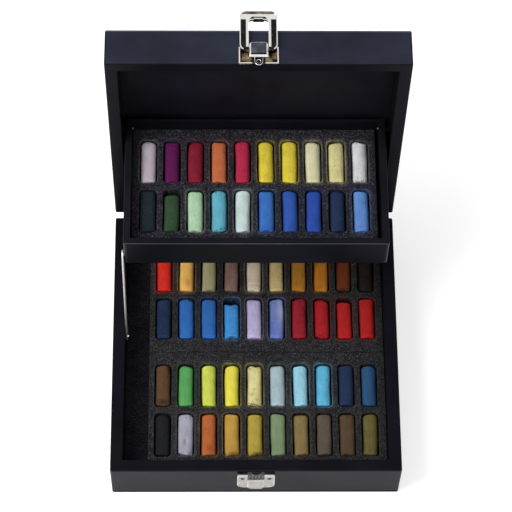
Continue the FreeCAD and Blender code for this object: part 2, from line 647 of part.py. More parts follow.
def latch_lever():
    """Stamped U-shaped lever: a sheet with turned-up edges, eyes on its pin and a curled lip."""
    half = LEVER_WIDTH / 2
    opening = LEVER_OPENING_WIDTH / 2
    edge = LEVER_EDGE
    out_low = LATCH_PIVOT_OUT - LEVER_DEPTH / 2
    out_high = LATCH_PIVOT_OUT + LEVER_DEPTH / 2
    base_z = LATCH_PIVOT.z

    def at_pivot(corners):
        return [(x, base_z + reach, radius) for x, reach, radius in corners]

    far, near, inner = LEVER_FAR_RADIUS, LEVER_NEAR_RADIUS, LEVER_OPENING_RADIUS
    body = lever_u(half, LEVER_HEEL, LEVER_REACH, opening, LEVER_OPENING_REACH, (far, near, inner))
    hollow = lever_u(half - edge, LEVER_HEEL - edge, LEVER_REACH - edge, opening + edge,
                     LEVER_OPENING_REACH + edge, (far - edge, near - edge, inner + edge))
    lever = front_prism(at_pivot(body), out_low, out_high)
    lever = lever.cut(front_prism(at_pivot(hollow), out_low + SHEET, out_high))
    tab_half = LEVER_TAB_WIDTH / 2
    tab = mirrored_corners([(tab_half, LEVER_OPENING_REACH, 0),
                            (tab_half - LEVER_TAB_TAPER, LEVER_OPENING_REACH - LEVER_TAB_DEPTH, 0)])
    lever = lever.fuse(front_prism(at_pivot(tab), out_low, out_low + SHEET))
    lever = lever.fuse(lever_lip(out_low))
    for side in (-1, 1):
        start = LATCH_PIVOT + Vector(side * opening, 0, 0)
        outward = Vector(side, 0, 0)
        lever = lever.fuse(rod(EYE_RADIUS, start, outward, EYE_LENGTH + SHEET, SMALL_SIDES))
        lever = lever.cut(bore(LATCH_PIN_RADIUS + RUNNING_CLEARANCE, start, outward, EYE_LENGTH, SMALL_SIDES))
    return lever.removeSplitter()


def lever_lip(out_low):
    """Quarter-round lip along the lever's far end, curled towards the lid while the lever is back."""
    outer = LEVER_LIP_RADIUS
    inner = outer - SHEET
    centre_y = -HALF_DEPTH - out_low - SHEET + outer
    centre_z = LATCH_PIVOT.z + LEVER_REACH - SHEET
    x = -LEVER_LIP_WIDTH / 2
    diagonal = math.sqrt(0.5)

    def on_arc(radius, across, along):
        return Vector(x, centre_y - radius * across, centre_z + radius * along)

    edges = [Part.Arc(on_arc(outer, 1, 0), on_arc(outer, diagonal, diagonal), on_arc(outer, 0, 1)).toShape(),
             Part.LineSegment(on_arc(outer, 0, 1), on_arc(inner, 0, 1)).toShape(),
             Part.Arc(on_arc(inner, 0, 1), on_arc(inner, diagonal, diagonal), on_arc(inner, 1, 0)).toShape(),
             Part.LineSegment(on_arc(inner, 1, 0), on_arc(outer, 1, 0)).toShape()]
    return Part.Face(Part.Wire(edges)).extrude(Vector(LEVER_LIP_WIDTH, 0, 0))


def rivet_seats():
    y = -HALF_DEPTH - PLATE_THICKNESS
    return [Vector(side * RIVET_SPACING / 2, y, LID_RIM + RIVET_RISE) for side in (-1, 1)]


# ---- Catch on the base ----------------------------------------------------------------------
def catch_plate():
    """Pan-shaped plate with rounded lower corners, a ribbed recess above and a raised boss below."""
    half = LATCH_PLATE_WIDTH / 2
    inner = half - 2 * CATCH_RIM
    plate = rimmed_plate(
        mirrored_corners([(half, CATCH_BOTTOM, CATCH_CORNER_RADIUS), (half, CATCH_TOP, 0)]),
        mirrored_corners([(inner, CATCH_BOTTOM + 2 * CATCH_RIM, CATCH_CORNER_RADIUS - 2 * CATCH_RIM),
                          (inner, CATCH_TOP - 2 * CATCH_RIM, 0)]),
        CATCH_DEPTH, CATCH_RIM)
    boss_half = BOSS_WIDTH / 2
    boss_corners = mirrored_corners([(boss_half, BOSS_BOTTOM, BOSS_CORNER_RADIUS), (boss_half, BOSS_TOP, 0)])
    boss = front_prism(boss_corners, 0, BOSS_OUT)
    outer_y = -HALF_DEPTH - BOSS_OUT
    boss = boss.makeChamfer(BOSS_BEVEL, [e for e in boss.Edges if abs(e.BoundBox.YMax - outer_y) < 1e-4])
    recess = front_prism(mirrored_corners([(boss_half, BOSS_TOP, 0), (boss_half, CATCH_TOP, 0)]),
                         RECESS_FLOOR, CATCH_DEPTH + CATCH_RIM)
    plate = plate.fuse(boss).cut(recess)
    pitch = BOSS_WIDTH / CATCH_RIBS
    for index in range(CATCH_RIBS):
        x = -boss_half + pitch * (index + 0.5)
        plate = plate.fuse(block((x - CATCH_RIB_WIDTH / 2, x + CATCH_RIB_WIDTH / 2),
                                 (-HALF_DEPTH - RECESS_FLOOR - CATCH_RIB_OUT, -HALF_DEPTH),
                                 (BOSS_TOP, KEEPER_BOTTOM)))
    for seat in catch_screw_seats():
        plate = plate.cut(small_screw_hole(CATCH_SCREW, seat, Vector(0, 1, 0)))
    return plate.removeSplitter()


def catch_keeper():
    """Half-round cup that stands out of the recess, open at its top; the lid's tongue drops over it."""
    def segment(half, out, bulge):
        ends = [Vector(side * half, -HALF_DEPTH - out, KEEPER_BOTTOM) for side in (-1, 1)]
        middle = Vector(0, -HALF_DEPTH - out - bulge, KEEPER_BOTTOM)
        edges = [Part.Arc(ends[0], middle, ends[1]).toShape(), Part.LineSegment(ends[1], ends[0]).toShape()]
        return Part.Face(Part.Wire(edges)).extrude(Vector(0, 0, KEEPER_TOP - KEEPER_BOTTOM))

    outer = segment(KEEPER_WIDTH / 2, RECESS_FLOOR, KEEPER_BULGE)
    inner = segment(KEEPER_WIDTH / 2 - KEEPER_SHEET, RECESS_FLOOR, KEEPER_BULGE - KEEPER_SHEET)
    inner.translate(Vector(0, 0, KEEPER_SHEET))
    return outer.cut(inner)


def catch_screw_seats():
    y = -HALF_DEPTH - CATCH_DEPTH
    z = BASE_HEIGHT - CATCH_SCREW_DROP
    return [Vector(side * CATCH_SCREW_SPACING / 2, y, z) for side in (-1, 1)]


# ---- Assembly -------------------------------------------------------------------------------
def drill(pieces, name, cutters):
    """Cut holes in one of the pieces."""
    for cutter in cutters:
        pieces[name] = pieces[name].cut(cutter)


def build():
    """All pieces by name, each where it lies in the open box."""
    into_back = Vector(0, -1, 0)
    into_front = Vector(0, 1, 0)
    base = base_carcass()
    lid = lid_carcass()
    tray = tray_boards()
    base.update(base_contents())
    tray.update(tray_contents())

    base["arm_pin"], pin_hole = arm_pin()
    drill(base, "base_left", [pin_hole])
    tray["arm_stud"], stud_hole = arm_stud()
    drill(tray, "tray_front", [stud_hole])
    for side, name in ((-1, "left"), (1, "right")):
        screw, spacer, tray_hole, lid_hole = rear_pivot(side)
        lid["tray_pivot_screw_" + name] = screw
        lid["tray_spacer_" + name] = spacer
        drill(tray, "tray_" + name, [tray_hole])
        drill(lid, "lid_" + name, [lid_hole])

    base_seats = []
    lid_seats = []
    for side, name in ((-1, "left"), (1, "right")):
        centre_x = side * HINGE_SPACING / 2
        base_knuckles, lid_knuckles = hinge_knuckles(centre_x)
        base["hinge_base_leaf_" + name] = hinge_leaf(centre_x, base_knuckles, -1)
        lid["hinge_lid_leaf_" + name] = hinge_leaf(centre_x, lid_knuckles, 1)
        base_seats += hinge_screw_seats(centre_x, -1)
        lid_seats += hinge_screw_seats(centre_x, 1)
    base["hinge_pins"] = Part.makeCompound([hinge_pin(side * HINGE_SPACING / 2) for side in (-1, 1)])
    for pieces, seats, prefix in ((base, base_seats, "base"), (lid, lid_seats, "lid")):
        screws = [small_screw(HINGE_SCREW, seat, into_back) for seat in seats]
        pieces["hinge_" + prefix + "_screws"] = Part.makeCompound(screws)
        drill(pieces, prefix + "_back", [small_screw_hole(HINGE_SCREW, seat, into_back) for seat in seats])

    base["catch_plate"] = catch_plate()
    base["catch_keeper"] = catch_keeper()
    seats = catch_screw_seats()
    base["catch_screws"] = Part.makeCompound([small_screw(CATCH_SCREW, seat, into_front) for seat in seats])
    drill(base, "base_front", [small_screw_hole(CATCH_SCREW, seat, into_front) for seat in seats])

    rivet_holes = [small_screw_hole(RIVET, seat, into_front) for seat in rivet_seats()]
    lid["latch_plate"] = latch_plate()
    lid["latch_bridge"] = latch_bridge()
    lid["latch_tongue"] = latch_tongue()
    lid["latch_pin"] = latch_pin()
    lid["latch_rivets"] = Part.makeCompound([small_screw(RIVET, seat, into_front) for seat in rivet_seats()])
    drill(lid, "latch_plate", rivet_holes)
    drill(lid, "lid_front", rivet_holes)
    lid["latch_lever"] = latch_lever()

    pieces = dict(base)
    pieces.update({name: open_lid(shape) for name, shape in lid.items()})
    pieces.update({name: lift_tray(shape) for name, shape in tray.items()})
    pieces["support_arm"] = swing_arm(support_arm())
    return pieces


os.makedirs("parts", exist_ok=True)
for node, shape in build().items():
    shape.exportStep("parts/" + node + ".step")
print("pivots open:", "lid", HINGE_AXIS, "arm", ARM_PIN)
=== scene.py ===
"""Looks of a hinged box for chalk pastels, whose lid lifts a cantilever tray.

Lengths are in millimetres in the axes of the solids, unless a comment says otherwise.
"""
import json
import logging
import math
from dataclasses import dataclass, field
from enum import Enum
from functools import partial
from typing import Callable

import bmesh
import bpy
import numpy as np
from mathutils import Matrix, Vector

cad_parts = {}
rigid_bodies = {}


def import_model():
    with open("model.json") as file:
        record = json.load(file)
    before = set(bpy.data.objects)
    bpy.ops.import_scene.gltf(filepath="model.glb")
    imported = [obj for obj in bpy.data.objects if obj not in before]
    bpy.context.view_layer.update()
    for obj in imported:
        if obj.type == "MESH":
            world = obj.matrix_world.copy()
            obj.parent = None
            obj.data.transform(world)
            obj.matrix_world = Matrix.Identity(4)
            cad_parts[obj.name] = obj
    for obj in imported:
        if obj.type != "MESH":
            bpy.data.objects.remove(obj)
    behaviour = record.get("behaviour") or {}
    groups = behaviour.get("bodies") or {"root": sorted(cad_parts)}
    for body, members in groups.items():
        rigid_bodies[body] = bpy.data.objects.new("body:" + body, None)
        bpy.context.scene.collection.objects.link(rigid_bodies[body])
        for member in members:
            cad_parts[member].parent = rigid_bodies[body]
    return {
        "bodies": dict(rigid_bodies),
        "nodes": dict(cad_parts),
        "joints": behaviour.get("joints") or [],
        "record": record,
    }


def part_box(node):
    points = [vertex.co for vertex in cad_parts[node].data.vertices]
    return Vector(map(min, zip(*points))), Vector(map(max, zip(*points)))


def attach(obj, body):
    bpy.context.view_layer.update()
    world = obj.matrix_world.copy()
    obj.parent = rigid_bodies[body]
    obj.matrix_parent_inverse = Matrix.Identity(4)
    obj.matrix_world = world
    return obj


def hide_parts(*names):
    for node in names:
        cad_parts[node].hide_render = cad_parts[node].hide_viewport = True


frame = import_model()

LOG = logging.getLogger("pastel_box")
Array = np.ndarray
Material = bpy.types.Material
Mesh = bpy.types.Mesh
Object = bpy.types.Object
Socket = bpy.types.NodeSocket
Adder = Callable[..., Socket]  # add_node with its tree filled in
Chooser = Callable[[Array, Array], Array]  # middles and normals of faces to the chosen ones
Coat = tuple[Material, Chooser]
Plane = tuple[Vector, Vector]  # point in metres, normal
Range = tuple[float, float]
Triple = tuple[float, float, float]

MM = 0.001  # metres in a millimetre
MERGE = 2e-6  # metres within which points are one
NEAR = 0.05  # millimetres within which a face is at a place
FULL_TURN = 2 * math.pi
PHASES: Range = (0, 6)  # from which the phase of a stick's or slot's wave is drawn
RIPPLE_GAIN = 1.6  # brings the mean of eight waves to about 1
COLOUR_MIX = {"data_type": "RGBA", "output": 2}

# The box in its shut state
HALF_WIDTH, HALF_DEPTH, WALL = 125.0, 122.0, 10.5
BASE_HEIGHT, LID_RIM, LID_TOP = 51.0, 51.1, 84.2
PANEL, REBATE = 4.0, 4.0
HINGE_Y, HINGE_Z = 125.2, 51.0
OPEN_ANGLE = math.radians(91.8)
STICK_RADIUS, COLUMN_PITCH = 6.4, 20.1


# ---- Numbers --------------------------------------------------------------------------------
def linear(hex_colour: str, factor: float = 1.0) -> tuple[float, float, float, float]:
    """Scene-linear colour of an sRGB hex colour.

    Args:
        hex_colour: colour as "#rrggbb".
        factor: makes it darker or lighter.

    Returns:
        Red, green, blue and an alpha of 1.
    """
    parts = [int(hex_colour[i:i + 2], 16) / 255 for i in (1, 3, 5)]
    red, green, blue = (p / 12.92 if p <= 0.04045 else ((p + 0.055) / 1.055) ** 2.4 for p in parts)
    return red * factor, green * factor, blue * factor, 1.0


def opened(points: Array, angle: float = OPEN_ANGLE) -> Array:
    """Points of the shut lid, turned about the hinge pin to where the open lid stands.

    Args:
        points: array of (x, y, z), any shape that ends in 3.
        angle: angle of the turn in radians.

    Returns:
        Array of the same shape; y' = c dy + s dz and z' = c dz - s dy, measured from the pin.
    """
    c, s = math.cos(angle), math.sin(angle)
    dy, dz = points[..., 1] - HINGE_Y, points[..., 2] - HINGE_Z
    return np.stack([points[..., 0], HINGE_Y + c * dy + s * dz, HINGE_Z + c * dz - s * dy], axis=-1)


def on_lid(points: Array) -> tuple[Array, Array, Array]:
    """Where points of the open lid's front lie on it.

    Args:
        points: array of (points, 3).

    Returns:
        Three arrays: distance from x = 0, distance in front of the lid, and rise over its rim.
    """
    shut = opened(points, -OPEN_ANGLE)
    return np.abs(shut[:, 0]), -HALF_DEPTH - shut[:, 1], shut[:, 2] - LID_RIM


def span(node: str) -> tuple[Array, Array]:
    """Lowest and highest corners of a solid of the frame."""
    low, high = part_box(node)
    return np.array(low) / MM, np.array(high) / MM


def ripple(x: Array, y: Array, seed: int, shortest: float, longest: float, waves: int = 8) -> Array:
    """Smooth unevenness over a plane: the mean of sine waves of random heading, length and phase.

    Args:
        x: places of the points.
        y: places of the points.
        seed: seed of the waves.
        shortest: shortest wavelength.
        longest: longest wavelength.
        waves: number of waves.

    Returns:
        Heights between about -1 and 1, shaped as x and y together.
    """
    rng = np.random.default_rng(seed)
    heading = rng.uniform(0, FULL_TURN, waves)
    wave = FULL_TURN / rng.uniform(shortest, longest, waves)
    phase = rng.uniform(0, FULL_TURN, waves)
    along = x[..., None] * np.cos(heading) + y[..., None] * np.sin(heading)
    return np.sin(along * wave + phase).mean(axis=-1) * RIPPLE_GAIN


# ---- Surfaces -------------------------------------------------------------------------------
def grid_faces(rows: int, columns: int, round_rows: bool = False, round_columns: bool = False,
               flipped: bool = False) -> Array:
    """Quads of a grid of points numbered row by row.

    Args:
        rows: number of rows of points.
        columns: number of points in a row.
        round_rows: whether the last row joins the first.
        round_columns: whether each row closes on itself.
        flipped: whether the faces look the other way.

    Returns:
        Array of (quads, 4) point numbers, face outward where rows run up and columns run left.
    """
    i = np.arange(rows if round_rows else rows - 1)[:, None]
    j = np.arange(columns if round_columns else columns - 1)[None, :]
    i2, j2 = (i + 1) % rows, (j + 1) % columns
    quads = np.stack([i * columns + j, i * columns + j2, i2 * columns + j2, i2 * columns + j], axis=-1)
    return quads.reshape(-1, 4)[:, ::-1 if flipped else 1]


def repeated(faces: Array, count: int, points: int) -> Array:
    """Faces of a number of like surfaces, from those of the first, whose points follow one another."""
    return (faces[None] + (np.arange(count) * points)[:, None, None]).reshape(-1, faces.shape[1])


@dataclass(frozen=True)
class Outline:
    """Level rectangle with rounded corners; radii run front right, back right, back left, front left."""

    left: float
    right: float
    front: float
    back: float
    radii: tuple[float, float, float, float]
    hug: float = 0.002  # share of a side that its end points keep from the corners
    sharpest: float = 0.05  # least radius of a corner

    def grown(self, by: float, arc: int = 7, side: int = 8) -> Array:
        """The outline moved outward, as one closed loop of points.

        Each corner is an arc about its centre with the radius r + by, and each side is divided
        between two arcs, with its first and last points close to them to keep the shading flat.

        Args:
            by: distance outward, negative for inward.
            arc: points on each corner.
            side: points between two corners.

        Returns:
            Array of (4 (arc + side), 2) places, counter-clockwise from the front right corner.
        """
        turn = (np.radians([-90, 0, 90, 180])[:, None] + np.linspace(0, math.pi / 2, arc))[..., None]
        radius = np.maximum(np.array(self.radii) + by, self.sharpest)[:, None]
        corners = np.array([(self.right, self.front), (self.right, self.back), (self.left, self.back),
                            (self.left, self.front)])
        centre = corners + np.array([(1, -1), (1, 1), (-1, 1), (-1, -1)]) * (by - radius)
        arcs = centre[:, None] + radius[:, None] * np.concatenate([np.cos(turn), np.sin(turn)], axis=-1)
        share = self.hug + (1 - 2 * self.hug) * np.linspace(0, 1, side)
        start, end = arcs[:, -1], np.roll(arcs[:, 0], -1, axis=0)
        sides = start[:, None] + (end - start)[:, None] * share[None, :, None]
        return np.concatenate([arcs, sides], axis=1).reshape(-1, 2)


def eased(corners: list[Triple], steps: int = 5, hug: float = 0.12) -> Array:
    """Closed section whose corners are replaced by arcs.

    An arc of radius r touches both edges at r / tan(half the corner); its points turn evenly from
    one to the other. A support point hugs each end, so that the flats stay flat when smooth shaded.

    Args:
        corners: corners (a, b, radius) in order; a radius of 0 stays sharp.
        steps: points on each arc.
        hug: distance of the support points from the arc.

    Returns:
        Array of (points, 2).
    """
    points = []
    for index, (a, b, radius) in enumerate(corners):
        here = np.array([a, b])
        if radius == 0:
            points.append(here[None])
            continue
        back = np.array(corners[index - 1][:2]) - here
        ahead = np.array(corners[(index + 1) % len(corners)][:2]) - here
        back, ahead = back / np.linalg.norm(back), ahead / np.linalg.norm(ahead)
        half = math.acos(float(back @ ahead)) / 2
        reach = radius / math.tan(half)
        middle = (back + ahead) / np.linalg.norm(back + ahead)
        centre = here + middle * radius / math.sin(half)
        start, end = here + back * reach - centre, here + ahead * reach - centre
        t, turn = np.linspace(0, 1, steps)[:, None], math.pi - 2 * half
        arc = centre + (start * np.sin((1 - t) * turn) + end * np.sin(t * turn)) / math.sin(turn)
        points += [(here + back * (reach + hug))[None], arc, (here + ahead * (reach + hug))[None]]
    return np.concatenate(points)


def walls(outer: Outline, inner: Outline, thickness: float, section: Array) -> tuple[Array, Array]:
    """Four walls in one piece: a section carried round between two outlines.

    A point (depth, z) of the section follows the outer outline moved in by its depth, or, in the
    inner half of the wall, the inner outline moved out by what is left of the thickness.

    Args:
        outer: outline of the outer faces.
        inner: outline of the inner faces.
        thickness: thickness of the thickest wall.
        section: closed section, up the outside first.

    Returns:
        Array of (points, 3) and array of (quads, 4).
    """
    loops = np.array([outer.grown(-depth) if depth < thickness / 2 else inner.grown(thickness - depth)
                      for depth, _ in section])
    heights = np.broadcast_to(section[:, 1, None, None], (*loops.shape[:2], 1))
    faces = grid_faces(*loops.shape[:2], round_rows=True, round_columns=True)
    return np.concatenate([loops, heights], axis=-1).reshape(-1, 3), faces


# ---- Pieces ---------------------------------------------------------------------------------
@dataclass(frozen=True)
class Tag:
    """A piece's name, the body it moves with, its material slot and the solids it stands for."""

    name: str
    body: str
    slot: str
    solids: tuple[str, ...]


def placed(name: str, data: bpy.types.ID) -> Object:
    """New object of a mesh, lamp or camera, linked to the scene."""
    thing = bpy.data.objects.new(name, data)
    bpy.context.scene.collection.objects.link(thing)
    return thing


def paint(mesh: Mesh, index: int, chooser: Chooser) -> None:
    """Give the faces that a chooser picks another of the mesh's finishes.

    Args:
        mesh: the mesh.
        index: number of the finish.
        chooser: from middles and normals to the faces.
    """
    count = len(mesh.polygons)
    middles, normals, numbers = np.empty(count * 3), np.empty(count * 3), np.empty(count, dtype=np.int32)
    for name, values in (("center", middles), ("normal", normals), ("material_index", numbers)):
        mesh.polygons.foreach_get(name, values)
    chosen = chooser(middles.reshape(-1, 3) / MM, normals.reshape(-1, 3))
    mesh.polygons.foreach_set("material_index", np.where(chosen, index, numbers).astype(np.int32))


def cleaned(mesh: Mesh, cuts: tuple[Plane, ...] | None = None) -> None:
    """Merge a mesh's doubles, and rebuild its flat faces where cuts are given.

    Args:
        mesh: the mesh.
        cuts: planes that divide its faces once flat triangles are joined; None leaves the faces.
    """
    work = bmesh.new()
    work.from_mesh(mesh)
    bmesh.ops.remove_doubles(work, verts=work.verts, dist=MERGE)
    if cuts is not None:
        bmesh.ops.dissolve_limit(work, angle_limit=math.radians(1.0), verts=work.verts, edges=work.edges)
    for point, normal in cuts or ():
        bmesh.ops.bisect_plane(work, geom=work.verts[:] + work.edges[:] + work.faces[:], plane_co=point,
                               plane_no=normal)
    work.to_mesh(mesh)
    work.free()


def finish_piece(mesh: Mesh, tag: Tag, finish: Material, coats: tuple[Coat, ...], sharp: float) -> Object:
    """Object of a mesh at the origin, smooth shaded, with its finishes and body, the solids it stands for
    hidden.

    Args:
        mesh: its mesh.
        tag: what it is.
        finish: finish of every face.
        coats: further finishes, each with the chooser of its faces; a later one lies on top.
        sharp: edges that turn by more degrees than this stay sharp.

    Returns:
        The piece.
    """
    mesh.materials.clear()
    for material in (finish, *(coat for coat, _ in coats)):
        mesh.materials.append(material)
    mesh.polygons.foreach_set("use_smooth", np.ones(len(mesh.polygons), dtype=bool))
    mesh.set_sharp_from_angle(angle=math.radians(sharp))
    mesh.update()
    for index, (_, chooser) in enumerate(coats, start=1):
        paint(mesh, index, chooser)
    piece = placed(tag.name, mesh)
    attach(piece, tag.body)
    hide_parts(*tag.solids)
    LOG.info("%s: %d faces on %s", tag.name, len(mesh.polygons), tag.body)
    return piece


def make_piece(tag: Tag, points: Array, faces: list[Array], finish: Material, coats: tuple[Coat, ...] = (),
               sharp: float = 40.0, tints: dict[str, Array] | None = None) -> Object:
    """Piece from points, with its doubles merged.

    Args:
        tag: what it is.
        points: array of (points, 3).
        faces: arrays of point numbers, each of quads or of triangles.
        finish: finish of every face.
        coats: further finishes.
        sharp: edges that turn by more degrees than this stay sharp.
        tints: attribute name to an array of (points, 4) linear colours.

    Returns:
        The piece.
    """
    mesh = bpy.data.meshes.new(tag.name)
    mesh.from_pydata((points * MM).tolist(), [], [face for group in faces for face in group.tolist()])
    for label, colours in (tints or {}).items():
        layer = mesh.attributes.new(label, "FLOAT_COLOR", "POINT")
        layer.data.foreach_set("color", colours.astype(np.float32).ravel())
    cleaned(mesh)
    return finish_piece(mesh, tag, finish, coats, sharp)


def softened(node: str, body: str, slot: str, width: float, finish: Material, *coats: Coat,
             cuts: tuple[Plane, ...] = ()) -> None:
    """Copy of a solid of the frame with its edges broken, as stamping and plating leave them.

    Points are merged, flat triangles joined, and a bevel rounds every edge that turns by 35 degrees;
    the bevel always takes the first finish, so the edges stand out against the coats between them,
    which are mostly painted shade and painted reflection.

    Args:
        node: solid that the piece stands for.
        body: body it moves with.
        slot: material slot of the record.
        width: width of the broken edges.
        finish: finish of the edges and of what no coat covers.
        coats: further finishes.
        cuts: planes that divide the faces first.
    """
    mesh = bpy.data.objects[node].data.copy()
    cleaned(mesh, cuts)
    piece = finish_piece(mesh, Tag(node + "_plated", body, slot, (node,)), finish, coats, sharp=30.0)
    bevel = piece.modifiers.new("broken_edges", "BEVEL")
    bevel.width = width * MM
    bevel.segments = 2
    bevel.limit_method = "ANGLE"
    bevel.angle_limit = math.radians(35)
    bevel.harden_normals = True
    bevel.material = 0


def dress(node: str, finish: Material) -> None:
    """Give a solid of the frame its finish."""
    materials = bpy.data.objects[node].data.materials
    materials.clear()
    materials.append(finish)


@dataclass(frozen=True)
class Head:
    """Domed screw or pivot head with a short neck, plain or with a groove for a driver."""

    radius: float
    rise: float
    groove: Range = (0.0, 0.0)  # width and depth
    rings: int = 9  # lines of the grid on each side of its middle
    dome: float = 2.6  # power of the dome's curve
    neck: tuple[Range, ...] = ((1.0, -0.15), (0.98, -0.6))  # share of the radius, z
    lines: Range = (0.86, 1.14)  # grid lines at a groove's edge, as shares of its half width
    plain_lines: Range = (0.1, 0.2)  # the same lines of a head without one, as shares of the radius
    outer_line: float = 0.34  # share of the radius at which the even lines start
    level: float = 0.8  # share of the rise over which a groove's floor is level
    groove_end: float = 0.97  # share of the radius that a groove reaches

    def shape(self) -> tuple[Array, Array, Array]:
        """Surface of a head that faces up, its underside's rim at z = 0.

        A square grid (u, v) becomes a disc by x = u sqrt(1 - v v / 2), y = v sqrt(1 - u u / 2); its
        height is rise (1 - r^dome), less the groove's depth where |y| is inside it. The rim runs down
        a neck to a fan of triangles.

        Returns:
            Points, quads and triangles.
        """
        half = self.groove[0] / 2 / self.radius
        inner = [half * line for line in self.lines] if half else self.plain_lines
        steps = np.array([*inner, *np.linspace(self.outer_line, 1.0, self.rings - 2)])
        line = np.concatenate([-steps[::-1], [0.0], steps])
        u, v = np.meshgrid(line, line)
        x, y = u * np.sqrt(1 - v * v / 2), v * np.sqrt(1 - u * u / 2)
        reach = np.minimum(np.hypot(x, y), 1.0)
        z = self.rise * (1 - reach ** self.dome)
        if half:
            floor = np.minimum(z, self.rise * self.level) - self.groove[1]
            z = np.where((np.abs(y) < half) & (reach < self.groove_end), floor, z)
        side = len(line)
        number = np.arange(side * side).reshape(side, side)
        rim = np.concatenate([number[0, :-1], number[:-1, -1], number[-1, :0:-1], number[:0:-1, 0]])
        top = np.stack([x * self.radius, y * self.radius, z], axis=-1).reshape(-1, 3)
        flat = [top[rim] * (share, share, 0) + (0, 0, drop) for share, drop in self.neck]
        points = np.concatenate([top, *flat, [[0, 0, self.neck[-1][1]]]])
        rows = np.stack([rim, *(len(top) + k * len(rim) + np.arange(len(rim)) for k in (0, 1))])
        after = np.roll(rows, -1, axis=1)
        quads = np.stack([rows[:-1], rows[1:], after[1:], after[:-1]], axis=-1).reshape(-1, 4)
        fan = np.stack([rows[-1], np.full(len(rim), len(points) - 1), after[-1]], axis=-1)
        return points, np.concatenate([grid_faces(side, side), quads]), fan

    def heads(self, tag: Tag, seats: Array, outward: Array, finish: Material,
              turns: tuple[float, ...] = (0.0,)) -> None:
        """A head on every seat, as one piece.

        Args:
            tag: what the piece is.
            seats: array of (heads, 3), where each head's underside stands.
            outward: the way the heads face.
            finish: their finish.
            turns: angle of each head's groove in degrees.
        """
        points, *faces = self.shape()
        normal = np.array(outward, dtype=float) / np.linalg.norm(outward)
        across = np.cross((0.0, 0.0, 1.0) if abs(normal[2]) < 0.9 else (0.0, 1.0, 0.0), normal)
        across /= np.linalg.norm(across)
        third = np.cross(normal, across)
        copies = []
        for seat, turn in zip(seats, np.resize(np.radians(turns), len(seats))):
            ahead = across * math.cos(turn) + third * math.sin(turn)
            copies.append(seat + points @ np.array([ahead, np.cross(normal, ahead), normal]))
        groups = [repeated(group, len(copies), len(points)) for group in faces]
        make_piece(tag, np.concatenate(copies), groups, finish, sharp=35.0)


# ---- Finishes -------------------------------------------------------------------------------
def add_node(tree: bpy.types.NodeTree, kind: str, inputs: dict | list | tuple = (), output: str | int = 0,
             **settings) -> Socket | None:
    """Add a node with its settings and links.

    Args:
        tree: node tree that gets it.
        kind: type name without the ShaderNode prefix.
        inputs: socket name or number to a constant or a socket; a list fills the sockets in order.
        output: name or number of the socket to return.
        settings: properties of the node.

    Returns:
        That socket, or None for a node without outputs.
    """
    node = tree.nodes.new("ShaderNode" + kind)
    for name, value in settings.items():
        setattr(node, name, value)
    for key, value in (inputs.items() if isinstance(inputs, dict) else enumerate(inputs)):
        if isinstance(value, Socket):
            tree.links.new(value, node.inputs[key])
        else:
            node.inputs[key].default_value = value
    return node.outputs[output] if node.outputs else None


@dataclass(frozen=True)
class Finish:
    """Any finish: a principled surface whose sockets the kinds of finish work out."""

    name: str

    def sockets(self, add: Adder, where: Socket) -> dict:
        """Sockets of the surface, from a function that adds a node and the place on the object."""
        raise NotImplementedError

    def material(self) -> Material:
        """Build the material."""
        material = bpy.data.materials.new(self.name)
        material.use_nodes = True
        material.node_tree.nodes.clear()
        add = partial(add_node, material.node_tree)
        add("OutputMaterial", [add("BsdfPrincipled", self.sockets(add, add("TexCoord", output="Object")))])
        return material


@dataclass(frozen=True)
class Lacquer(Finish):
    """Black lacquer sprayed on fine-grained board and rubbed to satin: dark, with a soft sheen.

    The eye gets a near-black body with faint clouds, a little grain under the film and the fine orange
    peel that breaks up reflections. Scales are patterns per metre.
    """

    colour: str = "#100f15"
    roughness: float = 0.3
    ior: float = 1.12
    sheen: str = "#dfe5f6"
    grain: Triple = (60.0, 600.0, 600.0)  # fibres 17 mm long and 1.7 mm wide, drawn coarse to show
    peel: float = 1200.0  # bumps of 0.8 mm
    clouds: float = 22.0  # patches of 45 mm, left by rubbing
    relief: float = 0.0002  # metres

    def sockets(self, add: Adder, where: Socket) -> dict:
        """Cloudy colour and gloss over a bump of grain and orange peel."""
        peel = add("TexNoise", {"Vector": where, "Scale": self.peel, "Detail": 2.0})
        along = add("Mapping", {"Vector": where, "Scale": self.grain})
        grain = add("TexNoise", {"Vector": along, "Scale": 1.0, "Detail": 3.0})
        cloud = add("TexNoise", {"Vector": where, "Scale": self.clouds, "Detail": 4.0})
        height = add("Math", [peel, grain], operation="ADD")
        share = add("MapRange", [cloud, 0.35, 0.65, 0, 1])
        return {
            "Base Color": add("Mix", {0: share, 6: linear(self.colour, 0.8), 7: linear(self.colour, 1.25)},
                              **COLOUR_MIX),
            "Roughness": add("MapRange", [cloud, 0.3, 0.7, self.roughness * 0.85, self.roughness * 1.2]),
            "IOR": self.ior, "Specular Tint": linear(self.sheen),
            "Normal": add("Bump", {"Height": height, "Strength": 0.09, "Distance": self.relief})}


